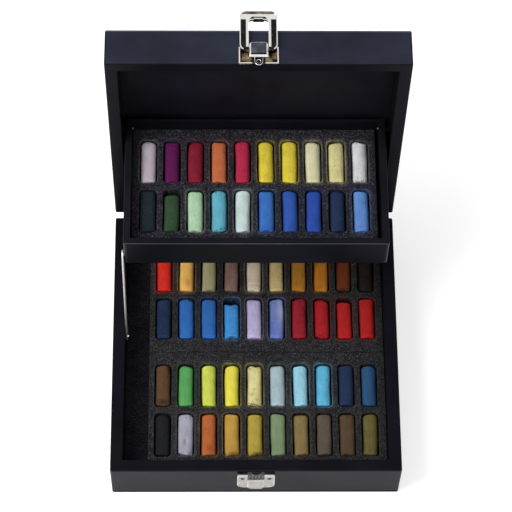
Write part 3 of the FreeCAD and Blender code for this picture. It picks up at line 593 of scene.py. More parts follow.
@dataclass(frozen=True)
class Metal(Finish):
    """Plated or polished sheet metal: the drawing marks run one way and break up its gloss.

    Scales are patterns per metre.
    """

    colour: str
    roughness: float
    marks: Triple = (120.0, 3000.0, 3000.0)  # 0.3 mm apart, coarser than real ones so that they show
    depth: float = 0.05
    # Patches of another colour: stains, and on the latch's plate painted reflections
    stain_and_sheen: str = "#6b5a48"
    stain_and_sheen_share: float = 0.15
    stain_and_sheen_scale: float = 170.0  # patches of 6 mm
    relief: float = 0.0001  # metres

    def sockets(self, add: Adder, where: Socket) -> dict:
        """Colour with patches of stain and painted sheen, with gloss and bump that follow the drawing marks.
        """
        drawn = add("Mapping", {"Vector": where, "Scale": self.marks})
        lines = add("TexNoise", {"Vector": drawn, "Scale": 1.0, "Detail": 3.0})
        cloud = add("TexNoise", {"Vector": where, "Scale": self.stain_and_sheen_scale, "Detail": 3.0})
        share = add("MapRange", [cloud, 0.45, 0.7, 0, self.stain_and_sheen_share])
        return {
            "Base Color": add("Mix", {0: share, 6: linear(self.colour), 7: linear(self.stain_and_sheen)}, **COLOUR_MIX),
            "Metallic": 1.0,
            "Roughness": add("MapRange", [lines, 0.3, 0.7, self.roughness * 0.8, self.roughness * 1.3]),
            "Normal": add("Bump", {"Height": lines, "Strength": self.depth, "Distance": self.relief})}


@dataclass(frozen=True)
class Foam(Finish):
    """Charcoal polyurethane foam, cut open-celled: matt, pitted, with light broken cell walls.

    Cells and grains are a little coarser than real ones so that they show. Pigment dust lies where
    the attribute "dust" has it, thicker on the grains. Scales are patterns per metre.
    """

    colour: str
    grain: str
    dusty: bool = True
    cells: float = 1400.0  # cells of 0.7 mm
    mottle: float = 110.0  # patches of 9 mm
    grains: float = 1080.0  # grains of 0.9 mm
    relief: float = 0.0004  # metres

    def sockets(self, add: Adder, where: Socket) -> dict:
        """Mottled colour with pits painted dark as shade, light grains and dust, over a bump of cells."""
        cells = add("TexVoronoi", {"Vector": where, "Scale": self.cells})
        mottle = add("TexNoise", {"Vector": where, "Scale": self.mottle, "Detail": 5.0})
        speck = add("TexNoise", {"Vector": where, "Scale": self.grains, "Detail": 3.0})
        colour = linear(self.colour, 0.7)
        # The darker specks are the open pits, painted dark as shade.
        for share, over in ((add("MapRange", [mottle, 0.35, 0.65, 0, 1]), linear(self.colour, 1.35)),
                            (add("MapRange", [speck, 0.36, 0.48, 0.75, 0]), linear(self.colour, 0.25)),
                            (add("MapRange", [speck, 0.54, 0.7, 0, 0.7]), linear(self.grain))):
            colour = add("Mix", {0: share, 6: colour, 7: over}, **COLOUR_MIX)
        if self.dusty:
            dust = add("Attribute", attribute_name="dust")
            thickness = add("MapRange", [speck, 0.35, 0.62, 0.45, 1.25])
            powder = add("Math", [dust.node.outputs["Alpha"], thickness], operation="MULTIPLY",
                         use_clamp=True)
            colour = add("Mix", {0: powder, 6: colour, 7: dust}, **COLOUR_MIX)
        return {"Base Color": colour, "Roughness": 0.95, "Specular IOR Level": 0.12,
                "Normal": add("Bump", {"Height": cells, "Strength": 0.6, "Distance": self.relief})}


@dataclass(frozen=True)
class Chalk(Finish):
    """Soft chalk pastel, rolled by hand: powdery and matt, streaked by rolling, pitted by grit.

    The attribute "pigment" holds the colour and, as its alpha, how crumbly the place is. Scales are
    patterns per metre.
    """

    rolling: Triple = (480.0, 120.0, 480.0)  # streaks 2 mm wide and 8 mm long
    grit: float = 1100.0  # grit of 0.9 mm
    nicks: float = 420.0  # nicks of 2.4 mm
    relief: float = 0.0009  # metres

    def sockets(self, add: Adder, where: Socket) -> dict:
        """Streaked pigment with pale grit, pits painted dark as shade, and dark marks that gather where the
        stick is crumbly.
        """
        pigment = add("Attribute", attribute_name="pigment")
        rolled = add("Mapping", {"Vector": where, "Scale": self.rolling})
        streaks = add("TexNoise", {"Vector": rolled, "Scale": 1.0, "Detail": 4.0})
        grit = add("TexNoise", {"Vector": where, "Scale": self.grit, "Detail": 4.0})
        shade = add("MapRange", [streaks, 0.3, 0.7, 0.92, 1.06])
        colour = add("VectorMath", {0: pigment, "Scale": shade}, operation="SCALE")
        pale = add("MapRange", [grit, 0.64, 0.76, 0, 0.12])
        colour = add("Mix", {0: pale, 6: colour, 7: linear("#f4f1ea")}, **COLOUR_MIX)
        nicks = add("TexNoise", {"Vector": where, "Scale": self.nicks, "Detail": 3.0, "Distortion": 1.5})
        crumbs = add("Math", [pigment.node.outputs["Alpha"], 0.22, nicks], operation="MULTIPLY_ADD")
        # The grit's pits are painted dark as shade; the crumbs are dark marks near crumbly ends.
        for pits in ([grit, 0.27, 0.34, 0.5, 0], [crumbs, 0.66, 0.72, 0, 0.8]):
            darker = add("VectorMath", {0: colour, "Scale": 0.35}, operation="SCALE")
            colour = add("Mix", {0: add("MapRange", pits), 6: colour, 7: darker}, **COLOUR_MIX)
        rough = add("Math", [grit, crumbs], operation="SUBTRACT")
        return {"Base Color": colour, "Roughness": 0.85, "Specular IOR Level": 0.2,
                "Normal": add("Bump", {"Height": rough, "Strength": 0.7, "Distance": self.relief})}


@dataclass(frozen=True)
class Paper(Finish):
    """White paper floor: matt, and lifted to white for the camera and for what mirrors it."""

    colour: str = "#efefef"
    lift: float = 0.45
    mirrored: str = "#e2e7f6"  # what lacquer and metal mirror of it: cool white

    def sockets(self, add: Adder, where: Socket) -> dict:
        """Plain colour and a glow that light rays don't see."""
        camera = add("LightPath")
        glossy = camera.node.outputs["Is Glossy Ray"]
        seen = add("Math", [camera, glossy], operation="MAXIMUM")
        glow = add("Mix", {0: glossy, 6: linear("#ffffff"), 7: linear(self.mirrored)}, **COLOUR_MIX)
        strength = add("Math", [seen, self.lift], operation="MULTIPLY")
        return {"Base Color": linear(self.colour), "Roughness": 0.9, "Specular IOR Level": 0.1,
                "Emission Color": glow, "Emission Strength": strength}


def made(finish: Finish) -> Material:
    """Dataclass field that builds a finish's material."""
    return field(default_factory=finish.material)


@dataclass
class Finishes:
    """Every finish of the box, each built once."""

    # Wood under sprayed lacquer: near black; the lid's front is painted lighter as a painted reflection, and
    # the lid's inner panel a shade lighter as painted light
    lacquer: Material = made(Lacquer("black_lacquer"))
    lid_front: Material = made(Lacquer("front_painted_reflection_lacquer", "#222530", 0.34, 1.2))
    panel_light: Material = made(Lacquer("panel_painted_light_lacquer", "#191820", 0.4, 1.14))
    # Painted highlights along the upper front edges, a subtler one on the base, and a painted shadow along
    # the base's lower edge
    edge_highlight: Material = made(Lacquer("edge_painted_highlight", "#4a4e5d", 0.4, 1.2))
    highlight_band: Material = made(Lacquer("base_painted_highlight", "#1b1b20", 0.4, 1.14))
    shadow_band: Material = made(Lacquer("base_painted_shadow", "#0c0c12", 0.7, 1.03))
    tray: Material = made(Lacquer("tray_lacquer", "#101015", 0.45, 1.18))
    # Slotted pads, cut from two lots of foam, and the clean sheets under them
    base_foam: Material = made(Foam("charcoal_foam", "#1f1f21", "#5e5e60"))
    tray_foam: Material = made(Foam("slate_foam", "#1f1e25", "#605f6a"))
    underlay: Material = made(Foam("underlay_foam", "#17171c", "#3e3e46", False))
    chalk: Material = made(Chalk("chalk_pastel"))
    # Bright nickel plate: bright on its edges; painted shade and dark reflection in its hollows, channels and
    # tongue; bridge brushed; plate face painted with reflections; lip warm grey with darker patches
    bright: Material = made(Metal("bright_nickel", "#e4e2de", 0.16, stain_and_sheen_share=0.1))
    shade_and_reflection: Material = made(Metal("nickel_painted_shade_and_reflection", "#1d1c1f", 0.2, depth=0.02))
    brushed: Material = made(
        Metal("brushed_gunmetal", "#43454f", 0.34, (300.0, 300.0, 4000.0), 0.14, "#8a8f9c", 0.5))
    plate_reflection: Material = made(Metal("nickel_painted_reflection", "#1a1512", 0.2, stain_and_sheen_share=0.8, stain_and_sheen="#b49a74"))
    warm_grey_lip: Material = made(Metal("warm_grey_lip", "#9d968f", 0.22, stain_and_sheen_share=0.8, stain_and_sheen="#4a3a30"))
    # Satin nickel plate: warm and lighter on its edges, its flats a darker copy as painted shade, and black
    # as painted shade in the recess and across its top
    satin: Material = made(Metal("satin_nickel", "#d4cdbe", 0.26, stain_and_sheen_share=0.3))
    satin_shade: Material = made(Metal("satin_nickel_painted_shade", "#a9a69e", 0.36, depth=0.12, stain_and_sheen_share=0.25))
    recess: Material = made(Metal("recess_painted_shade", "#141316", 0.35))
    # Drawn steel: dull for hinges and stud, polished for the arm, dark for screws; the dark steel is painted
    # shade on the catch's ribs, keeper and screws
    steel: Material = made(Metal("steel_strip", "#a9a8a6", 0.3, stain_and_sheen_share=0.3))
    strip: Material = made(Metal("polished_strip", "#efece4", 0.42, stain_and_sheen_share=0.15))
    dark_steel_and_shade: Material = made(Metal("steel_dark_and_painted_shade", "#4a4a50", 0.34, stain_and_sheen_share=0.3))


# ---- Studio ---------------------------------------------------------------------------------
@dataclass
class Studio:
    """Camera, lamps, white surroundings and pale floor."""

    position: Triple = (-34.26, -810.59, 1846.14)
    focal_pixels: float = 2240.04
    picture_pixels: float = 512.0
    sensor: float = 36.0
    reach: float = 20.0  # metres that the camera sees
    down: float = 63.508  # degrees, as are the next two
    turn: float = 2.28
    roll: float = 2.068
    sky: float = 0.55  # strength of the sky as a light
    floor_half: float = 6.0  # metres
    aim: Triple = (0.0, 0.02, 0.08)  # metres, where the lamps point

    def camera(self) -> None:
        """Camera that looks down into the open box."""
        down, turn, roll = (math.radians(v) for v in (self.down, self.turn, self.roll))
        ahead = Vector((math.sin(turn) * math.cos(down), math.cos(turn) * math.cos(down), -math.sin(down)))
        right = Vector((math.cos(turn), -math.sin(turn), 0))
        up = right.cross(ahead)
        rolled_right = right * math.cos(roll) + up * math.sin(roll)
        rolled_up = up * math.cos(roll) - right * math.sin(roll)
        data = bpy.data.cameras.new("camera")
        data.sensor_width = self.sensor
        data.lens = self.focal_pixels / self.picture_pixels * self.sensor
        data.clip_end = self.reach
        camera = placed("camera", data)
        axes = Matrix((rolled_right, rolled_up, -ahead)).transposed().to_4x4()
        camera.matrix_world = Matrix.Translation(Vector(self.position) * MM) @ axes
        bpy.context.scene.camera = camera

    def world(self) -> None:
        """Soft sky for light, plain white for the camera, mirrors and glass."""
        world = bpy.data.worlds.new("studio")
        bpy.context.scene.world = world
        world.use_nodes = True
        world.node_tree.nodes.clear()
        add = partial(add_node, world.node_tree)
        seen = add("LightPath")
        rays = seen.node.outputs
        for ray in ("Is Glossy Ray", "Is Transmission Ray"):
            seen = add("Math", [seen, rays[ray]], operation="MAXIMUM")
        soft, white = (add("Background", [linear("#ffffff"), strength]) for strength in (self.sky, 1.0))
        add("OutputWorld", [add("MixShader", [seen, soft, white])])

    def lamp(self, name: str, place: Triple, size: float, power: float) -> None:
        """Square area lamp that faces the box.

        Args:
            name: name of the lamp.
            place: its position.
            size: side in metres.
            power: power in watts.
        """
        data = bpy.data.lights.new(name, "AREA")
        data.size = size
        data.energy = power
        start = Vector(place) * MM
        turn = (Vector(self.aim) - start).to_track_quat("-Z", "Y").to_matrix().to_4x4()
        placed(name, data).matrix_world = Matrix.Translation(start) @ turn

    def floor(self) -> None:
        """Pale paper floor, a square about the origin."""
        half = self.floor_half
        mesh = bpy.data.meshes.new("floor")
        mesh.from_pydata([(-half, -half, 0), (half, -half, 0), (half, half, 0), (-half, half, 0)], [],
                         [(0, 1, 2, 3)])
        mesh.materials.append(Paper("paper_floor").material())
        placed("floor", mesh)

    def build(self) -> None:
        """Set the whole studio up."""
        bpy.context.scene.view_settings.view_transform = "Standard"
        self.camera()
        self.world()
        self.lamp("key", (-900, -250, 1250), size=0.9, power=19)
        self.lamp("fill", (600, -1000, 1100), size=1.0, power=4)
        self.floor()


# ---- Pastels --------------------------------------------------------------------------------
class Pigment(Enum):
    """Pigments of the sticks."""

    SHELL_LILAC = "#b9adb9"
    MAGENTA = "#560c4a"
    CRIMSON = "#7a1428"
    ORANGE = "#b8643e"
    RASPBERRY = "#ac2544"
    LEMON = "#d4c03a"
    CADMIUM_YELLOW = "#d8c43e"
    CREAM_YELLOW = "#d6d1ab"
    PALE_YELLOW = "#d2c98e"
    CHALK_WHITE = "#d4d4d6"
    BLACK_TEAL = "#16232a"
    FOREST = "#2a422a"
    PALE_GREEN = "#a6c6a4"
    TURQUOISE = "#5ca6ba"
    MINT = "#c0d2d0"
    AZURE = "#3568b2"
    COBALT = "#2b51a2"
    ULTRAMARINE = "#26479c"
    NAVY = "#1a2b4a"
    CORNFLOWER = "#5c86c6"
    VERMILION = "#cc271a"
    # LIGHT_OCHRE to ORANGE_OCHRE lie in the rear pad's back row under the raised tray; they are a little
    # lighter, as painted light against the tray's shade.
    LIGHT_OCHRE = "#e6b25a"
    SAGE_GREY = "#a6a078"
    MAUVE_BROWN = "#866860"
    BEIGE = "#e2d1b8"
    SAND = "#d8c088"
    OCHRE = "#b47c28"
    ORANGE_OCHRE = "#c27a22"
    SIENNA = "#6f3314"
    UMBER_BLACK = "#1b1212"
    BLUE = "#2d65ae"
    SKY = "#408dd2"
    LAVENDER = "#b6abd2"
    PERIWINKLE = "#6c7cba"
    DEEP_RED = "#901a2a"
    RED = "#a51822"
    BRIGHT_RED = "#a81a1a"
    BROWN = "#553c24"
    LEAF_GREEN = "#519654"
    YELLOW_GREEN = "#c2cc52"
    YELLOW = "#dcd048"
    BUTTER = "#d2c88a"
    BLUE_GREY = "#9eb2ba"
    PALE_CYAN = "#90c6da"
    BRIGHT_CYAN = "#58a9cb"
    STEEL_BLUE = "#264b70"
    # BLACK to OLIVE make the front pad's front row; they are darker partly by their own colour and partly as
    # painted shade.
    BLACK = "#111216"
    GREY_LAVENDER = "#9a99a8"
    BROWN_ORANGE = "#a65c2e"
    GOLD_OCHRE = "#b08a3c"
    MUSTARD = "#a6923c"
    SAGE = "#728664"
    OLIVE_TAN = "#7c6a42"
    TAUPE = "#544a40"
    DARK_BROWN = "#4e3b2a"
    OLIVE = "#5e562e"


P = Pigment


@dataclass(frozen=True)
class Mark:
    """Patch of another colour rubbed onto one stick; its edge is soft.

    `along` and `length` run from the stick's middle towards the back, `turn` is an angle in degrees
    (0 right, 90 top, 180 left) and `width` is measured round the stick.
    """

    stick: int
    along: float
    turn: float
    length: float
    width: float
    colour: str
    strength: float


@dataclass(frozen=True)
class Rolling:
    """How unevenly a hand rolls sticks: ranges that each stick draws from, and shared waves."""

    loss: Range = (0, 0.45)  # of half the length
    near_corner: Range = (0.7, 1.6)  # radii of the ends' edges
    far_corner: Range = (1.3, 3.4)
    squareness: Range = (2.2, 2.9)  # power of the section; 2 is round
    grit: Range = (0.03, 0.1)
    breadth: Range = (1.0, 1.075)
    chip_turn: Range = (0.2, 2.9)  # radians
    chip_share: Range = (0.2, 1.0)
    slant: Range = (-0.05, 0.05)  # of the ends, in radians
    bend: Range = (-0.55, 0.55)  # of the middle line
    unbent: float = 0.4  # square of the share t at which a bend crosses the axis
    bare: float = 1.0  # radius within which an end has no grit
    lean: Range = (-0.3, 0.3)
    slip: Range = (-0.2, 0.2)  # along the slot
    flatness: Range = (0.975, 0.955)  # of the section all round, and of its height alone
    waves: tuple[Triple, ...] = ((0.014, 2.4, 0), (0.009, 5, 2), (0.008, 7, 3))  # height, along, round
    end_wave: float = 0.35
    chip_depth: Range = (0.9, 3.0)  # of a sound and of a chipped stick
    chip_at: Range = (5.6, 5.2)  # its place from the stick's axis
    chip_size: float = 3.0


@dataclass(frozen=True)
class Smears:
    """Clouds and smears of colour on a stick; ranges are drawn from for each stick."""

    count: int = 4
    clouds: tuple[Range, ...] = ((4, 2), (9, -1), (2, 3))  # waves along and round
    cloud: float = 0.03
    rim: float = 0.12  # painted highlight on the ends' edges
    end_highlight_at: Triple = (0.93, 0.5, 0.85)  # share of the radius, width, share of the length
    spots: tuple[Range, ...] = ((-17, 17), (0.3, 2.8), (0.9, 3.0), (0, 1))  # place, angle, size, strength
    strength: float = 0.14
    longer: float = 1.8  # a smear's length over its width
    lighter: Range = (1.6, 0.01)  # a smear is at most this many times as light, and this much more
    crumbly: float = 0.7  # most of a sound stick
    crumbs: float = 5.0  # how fast crumbs fade from the ends


@dataclass
class StickRow:
    """One row of ten hand-rolled half sticks, each lying in its slot."""

    node: str
    body: str
    pigments: tuple[Pigment, ...]
    seed: int
    short: dict[int, float] = field(default_factory=dict)  # what a stick's length has lost
    wide: dict[int, float] = field(default_factory=dict)  # a stick's width over the others'
    chipped: tuple[int, ...] = ()
    shift: float = 0.0  # of the whole row, towards the back
    longest: float = 19.5  # half length of its longest stick
    marks: tuple[Mark, ...] = ()
    around: int = 40  # points round a stick
    body_rings: int = 34
    dome: float = 0.45  # rise of an end's disc
    rolling: Rolling = Rolling()
    smears: Smears = Smears()

    def centres(self) -> Array:
        """Middles of the row's sticks, as an array of (sticks, 3)."""
        low, high = span(self.node)
        x = low[0] + STICK_RADIUS + COLUMN_PITCH * np.arange(len(self.pigments))
        middle = (low + high) / 2
        return np.stack([x, np.full(len(x), middle[1]), np.full(len(x), middle[2])], axis=-1)

    def end(self, corner: Array) -> tuple[Array, Array]:
        """One end of every stick: a slightly domed disc, then a quarter arc of the corner radius.

        Args:
            corner: corner radii, one per stick.

        Returns:
            Two arrays of (sticks, rings): the depth from the end's tip and the radius.
        """
        turn = np.linspace(0, math.pi / 2, 6)
        disc = np.array([0.0, 0.4, 0.8])
        flat = STICK_RADIUS - corner[:, None]
        rise = self.dome * (flat / STICK_RADIUS) ** 2
        return (np.concatenate([rise * disc ** 2, rise + corner[:, None] * (1 - np.cos(turn))], axis=1),
                np.concatenate([disc * flat, flat + corner[:, None] * np.sin(turn)], axis=1))

    def profile(self, length: Array, near: Array, far: Array) -> tuple[Array, Array]:
        """Rings from the near end through the body to the far one.

        Args:
            length: half lengths, one per stick.
            near: corner radii of the near ends.
            far: corner radii of the far ends.

        Returns:
            Two arrays of (sticks, rings): the distance from the middle and the radius.
        """
        length = length[:, None]
        (near_depth, near_radius), (far_depth, far_radius) = self.end(near), self.end(far)
        start, stop = near_depth[:, -1:] - length, length - far_depth[:, -1:]
        body = start + (stop - start) * np.linspace(0, 1, self.body_rings)[1:-1]
        places = np.concatenate([near_depth - length, body, (length - far_depth)[:, ::-1]], axis=1)
        full = np.full(body.shape, STICK_RADIUS)
        return places, np.concatenate([near_radius, full, far_radius[:, ::-1]], axis=1)

    def sticks(self) -> tuple[Array, Array]:
        """Surfaces and colours of the row's sticks.

        The cross-section is a superellipse |cos|^n + |sin|^n = 1 between round and square; low waves
        and grit swell it, the middle line bends by a parabola, the ends slant and have lost a chip.

        Returns:
            Points (sticks, rings, around, 3) and colours (sticks, rings, around, 4).
        """
        rng = np.random.default_rng(self.seed)
        count, hand = len(self.pigments), self.rolling

        def knob(limits: Range) -> Array:
            """One random number per stick."""
            return rng.uniform(*limits, count)[:, None, None]

        lost = np.array([self.short.get(k, 0.0) for k in range(count)])
        wide = np.array([self.wide.get(k, 1.0) for k in range(count)])[:, None, None]
        half = self.longest - rng.uniform(*hand.loss, count) - lost / 2
        place, radius = (v[..., None] for v in self.profile(
            half, rng.uniform(*hand.near_corner, count), rng.uniform(*hand.far_corner, count)))
        t = place / half[:, None, None]
        angle = np.linspace(0, FULL_TURN, self.around, endpoint=False)[None, None]
        n = knob(hand.squareness)
        square = (np.abs(np.cos(angle)) ** n + np.abs(np.sin(angle)) ** n) ** (-1 / n)
        swell = 1 + sum(a * np.sin(k * t + m * angle + knob(PHASES)) for a, k, m in hand.waves)
        grit = rng.normal(0, 1, (count, place.shape[1], self.around)) * knob(hand.grit)
        size = radius * square * swell * hand.flatness[0] + grit * (radius > hand.bare)
        x = size * np.cos(angle) * wide * knob(hand.breadth)
        z = size * np.sin(angle) * hand.flatness[1]
        end = np.sign(t)
        bite = np.where(np.isin(np.arange(count), self.chipped), *hand.chip_depth[::-1])[:, None, None]
        where = knob(hand.chip_turn)
        gap = (x - hand.chip_at[0] * np.cos(where) * end) ** 2 + (z - hand.chip_at[1] * np.sin(where)) ** 2
        chip = bite * knob(hand.chip_share) * np.exp(-gap / hand.chip_size ** 2)
        wave = hand.end_wave * np.sin(2 * angle + knob(PHASES)) * radius / STICK_RADIUS
        y = place + (np.tan(knob(hand.slant)) * x + wave) * t ** 5 - chip * end * t ** 6
        x = x + knob(hand.bend) * (t ** 2 - hand.unbent) + knob(hand.lean) * t
        y = y - lost[:, None, None] / 2 + knob(hand.slip) + self.shift
        points = np.stack(np.broadcast_arrays(x, y, z), axis=-1) + self.centres()[:, None, None]
        return points, self.colours(rng, t, angle, place, radius)

    def colours(self, rng: np.random.Generator, t: Array, angle: Array, place: Array, radius: Array) -> Array:
        """Pigment of every point: cloudy, lighter on the ends' edges as a painted highlight, crumbly at the
        ends, with smears rubbed off neighbours.

        A smear or a mark covers by strength exp(-d^2), with d its distance as a share of its size.

        Args:
            rng: the row's random numbers.
            t: share of the half length, from -1 to 1.
            angle: angle round the stick.
            place: distance from the stick's middle.
            radius: radius of the ring.

        Returns:
            Array of (sticks, rings, around, 4) linear colours; alpha is how crumbly the place is.
        """
        count, soil = len(self.pigments), self.smears
        base = np.array([linear(p.value) for p in self.pigments])[:, None, None]
        phase = rng.uniform(*PHASES, (4, count, 1, 1))  # the last one is spare
        cloud = sum(np.sin(k * t + m * angle + p) for (k, m), p in zip(soil.clouds, phase))
        # The ends' edges are lightened as a painted highlight.
        at, width, beyond = soil.end_highlight_at
        rim = np.exp(-((radius - STICK_RADIUS * at) / width) ** 2) * (np.abs(t) > beyond)
        tint = base * (1 + soil.cloud * cloud + soil.rim * rim)[..., None]
        for _ in range(soil.count):
            other = np.minimum(base[rng.permutation(count)], base * soil.lighter[0] + soil.lighter[1])
            spot_y, spot_a, reach, share = (rng.uniform(*v, count)[:, None, None] for v in soil.spots)
            gap = ((place - spot_y) / soil.longer) ** 2 + ((angle - spot_a) * STICK_RADIUS) ** 2
            smear = (share ** 2 * soil.strength * np.exp(-gap / reach ** 2))[..., None]
            tint = tint * (1 - smear) + other * smear
        for mark in self.marks:
            gap = ((place[mark.stick] - mark.along) / mark.length) ** 2
            gap = gap + ((angle[0] - math.radians(mark.turn)) * STICK_RADIUS / mark.width) ** 2
            cover = (mark.strength * np.exp(-gap))[..., None]
            tint[mark.stick] = tint[mark.stick] * (1 - cover) + np.array(linear(mark.colour)) * cover
        crumbly = np.where(np.isin(np.arange(count), self.chipped), 1.0, rng.uniform(0, soil.crumbly, count))
        tint[..., 3] = crumbly[:, None, None] * np.exp(-(1 - np.abs(t)) * soil.crumbs)
        return np.clip(tint, 0, 1)

    def build(self, chalk: Material) -> None:
        """Mesh of the row."""
        points, tints = self.sticks()
        count, rings, around, _ = points.shape
        faces = repeated(grid_faces(rings, around, round_columns=True, flipped=True), count, rings * around)
        tag = Tag(self.node + "_chalk", self.body, "pastel", (self.node,))
        make_piece(tag, points.reshape(-1, 3), [faces], chalk, sharp=75.0,
                   tints={"pigment": tints.reshape(-1, 4)})


ROWS = {row.node: row for row in (
    StickRow("tray_sticks_back", "tray", (
        P.SHELL_LILAC, P.MAGENTA, P.CRIMSON, P.ORANGE, P.RASPBERRY, P.LEMON, P.CADMIUM_YELLOW,
        P.CREAM_YELLOW, P.PALE_YELLOW, P.CHALK_WHITE), 11, chipped=(9,), shift=-0.1, longest=20.05),
    StickRow("tray_sticks_front", "tray", (
        P.BLACK_TEAL, P.FOREST, P.PALE_GREEN, P.TURQUOISE, P.MINT, P.AZURE, P.COBALT, P.ULTRAMARINE,
        P.NAVY, P.CORNFLOWER), 12, short={1: 3.2}, wide={2: 1.04}, chipped=(3,),
        longest=19.9),
    StickRow("rear_pad_sticks_back", "base", (
        P.VERMILION, P.LIGHT_OCHRE, P.SAGE_GREY, P.MAUVE_BROWN, P.BEIGE, P.SAND, P.OCHRE,
        P.ORANGE_OCHRE, P.SIENNA, P.UMBER_BLACK), 13, chipped=(8,), marks=(
            Mark(1, -11, 80, 3.5, 2.0, "#b4502c", 0.5), Mark(4, -14, 70, 0.5, 6.0, "#7a5a48", 0.6),
            Mark(4, -9, 120, 0.5, 5.0, "#8a6a58", 0.5), Mark(8, -18, 100, 1.6, 5.0, "#22140c", 0.8),
            Mark(6, -4, 60, 0.9, 0.9, "#5a3410", 0.7), Mark(6, -12, 110, 0.8, 0.8, "#5a3410", 0.7))),
    StickRow("rear_pad_sticks_front", "base", (
        P.NAVY, P.BLUE, P.BLUE, P.SKY, P.LAVENDER, P.PERIWINKLE, P.DEEP_RED, P.RED, P.BRIGHT_RED,
        P.BRIGHT_RED), 14, short={3: 4.0, 8: 3.0}, chipped=(3, 7), marks=(
            Mark(5, 9, 45, 11.0, 4.0, "#c4cde6", 0.75), Mark(5, -12, 130, 8.0, 4.0, "#3444a0", 0.5),
            Mark(6, 3, 60, 0.6, 4.0, "#5a0c18", 0.6), Mark(6, 5, 90, 0.4, 3.5, "#5a0c18", 0.5))),
    StickRow("front_pad_sticks_back", "base", (
        P.BROWN, P.LEAF_GREEN, P.YELLOW_GREEN, P.YELLOW, P.BUTTER, P.BLUE_GREY, P.PALE_CYAN,
        P.BRIGHT_CYAN, P.NAVY, P.STEEL_BLUE), 15, wide={5: 1.07}, chipped=(4,), marks=(
            Mark(0, -16, 90, 2.6, 5.0, "#1a1210", 0.75), Mark(0, 17, 30, 3.5, 3.0, "#120c0a", 0.8),
            Mark(4, -9, 110, 1.6, 1.2, "#6a5a34", 0.6), Mark(4, -4, 90, 0.8, 1.6, "#7a6a40", 0.5),
            Mark(4, -14, 70, 1.2, 2.0, "#7a6a40", 0.5), Mark(7, 5, 60, 1.0, 0.8, "#2c6a80", 0.6))),
    StickRow("front_pad_sticks_front", "base", (
        P.BLACK, P.GREY_LAVENDER, P.BROWN_ORANGE, P.GOLD_OCHRE, P.MUSTARD, P.SAGE, P.OLIVE_TAN, P.TAUPE,
        P.DARK_BROWN, P.OLIVE), 16, chipped=(1,), marks=(
            Mark(1, -7, 95, 2.6, 0.8, "#8a4420", 0.9), Mark(2, -13, 85, 3.5, 2.5, "#8a2c14", 0.5),
            Mark(3, -18, 90, 1.6, 6.0, "#2a1c0a", 0.6), Mark(4, -18, 70, 1.4, 6.0, "#1c1408", 0.7))),
)}


# ---- Foam -----------------------------------------------------------------------------------
@dataclass(frozen=True)
class Dust:
    """Pigment that sticks leave round their slots; ranges are drawn from for each slot."""

    grey: float = 0.7  # how much its lowest part takes from a colour's vividness
    red: float = 5.0  # a colour is red from this many times its green
    strength: Triple = (0.04, 0.32, 1.1)  # of any pigment, more where vivid, share more where red
    share: Range = (0.15, 1.0)
    reach: Range = (0.9, 1.9)
    red_reach: float = 0.5  # share by which red reaches farther
    patches: tuple[Range, ...] = ((0.35, 2), (0.25, 5))  # strength, number round the slot
    rim: Range = (0.05, 0.3)  # pale powder on the slot's lip
    rim_base: float = 0.3
    rim_width: float = 0.28
    pale: str = "#9a988e"
    paleness: float = 0.45
    shade: Range = (0.8, 0.45)  # of the colour on foam, less where red
    thickest: float = 0.9


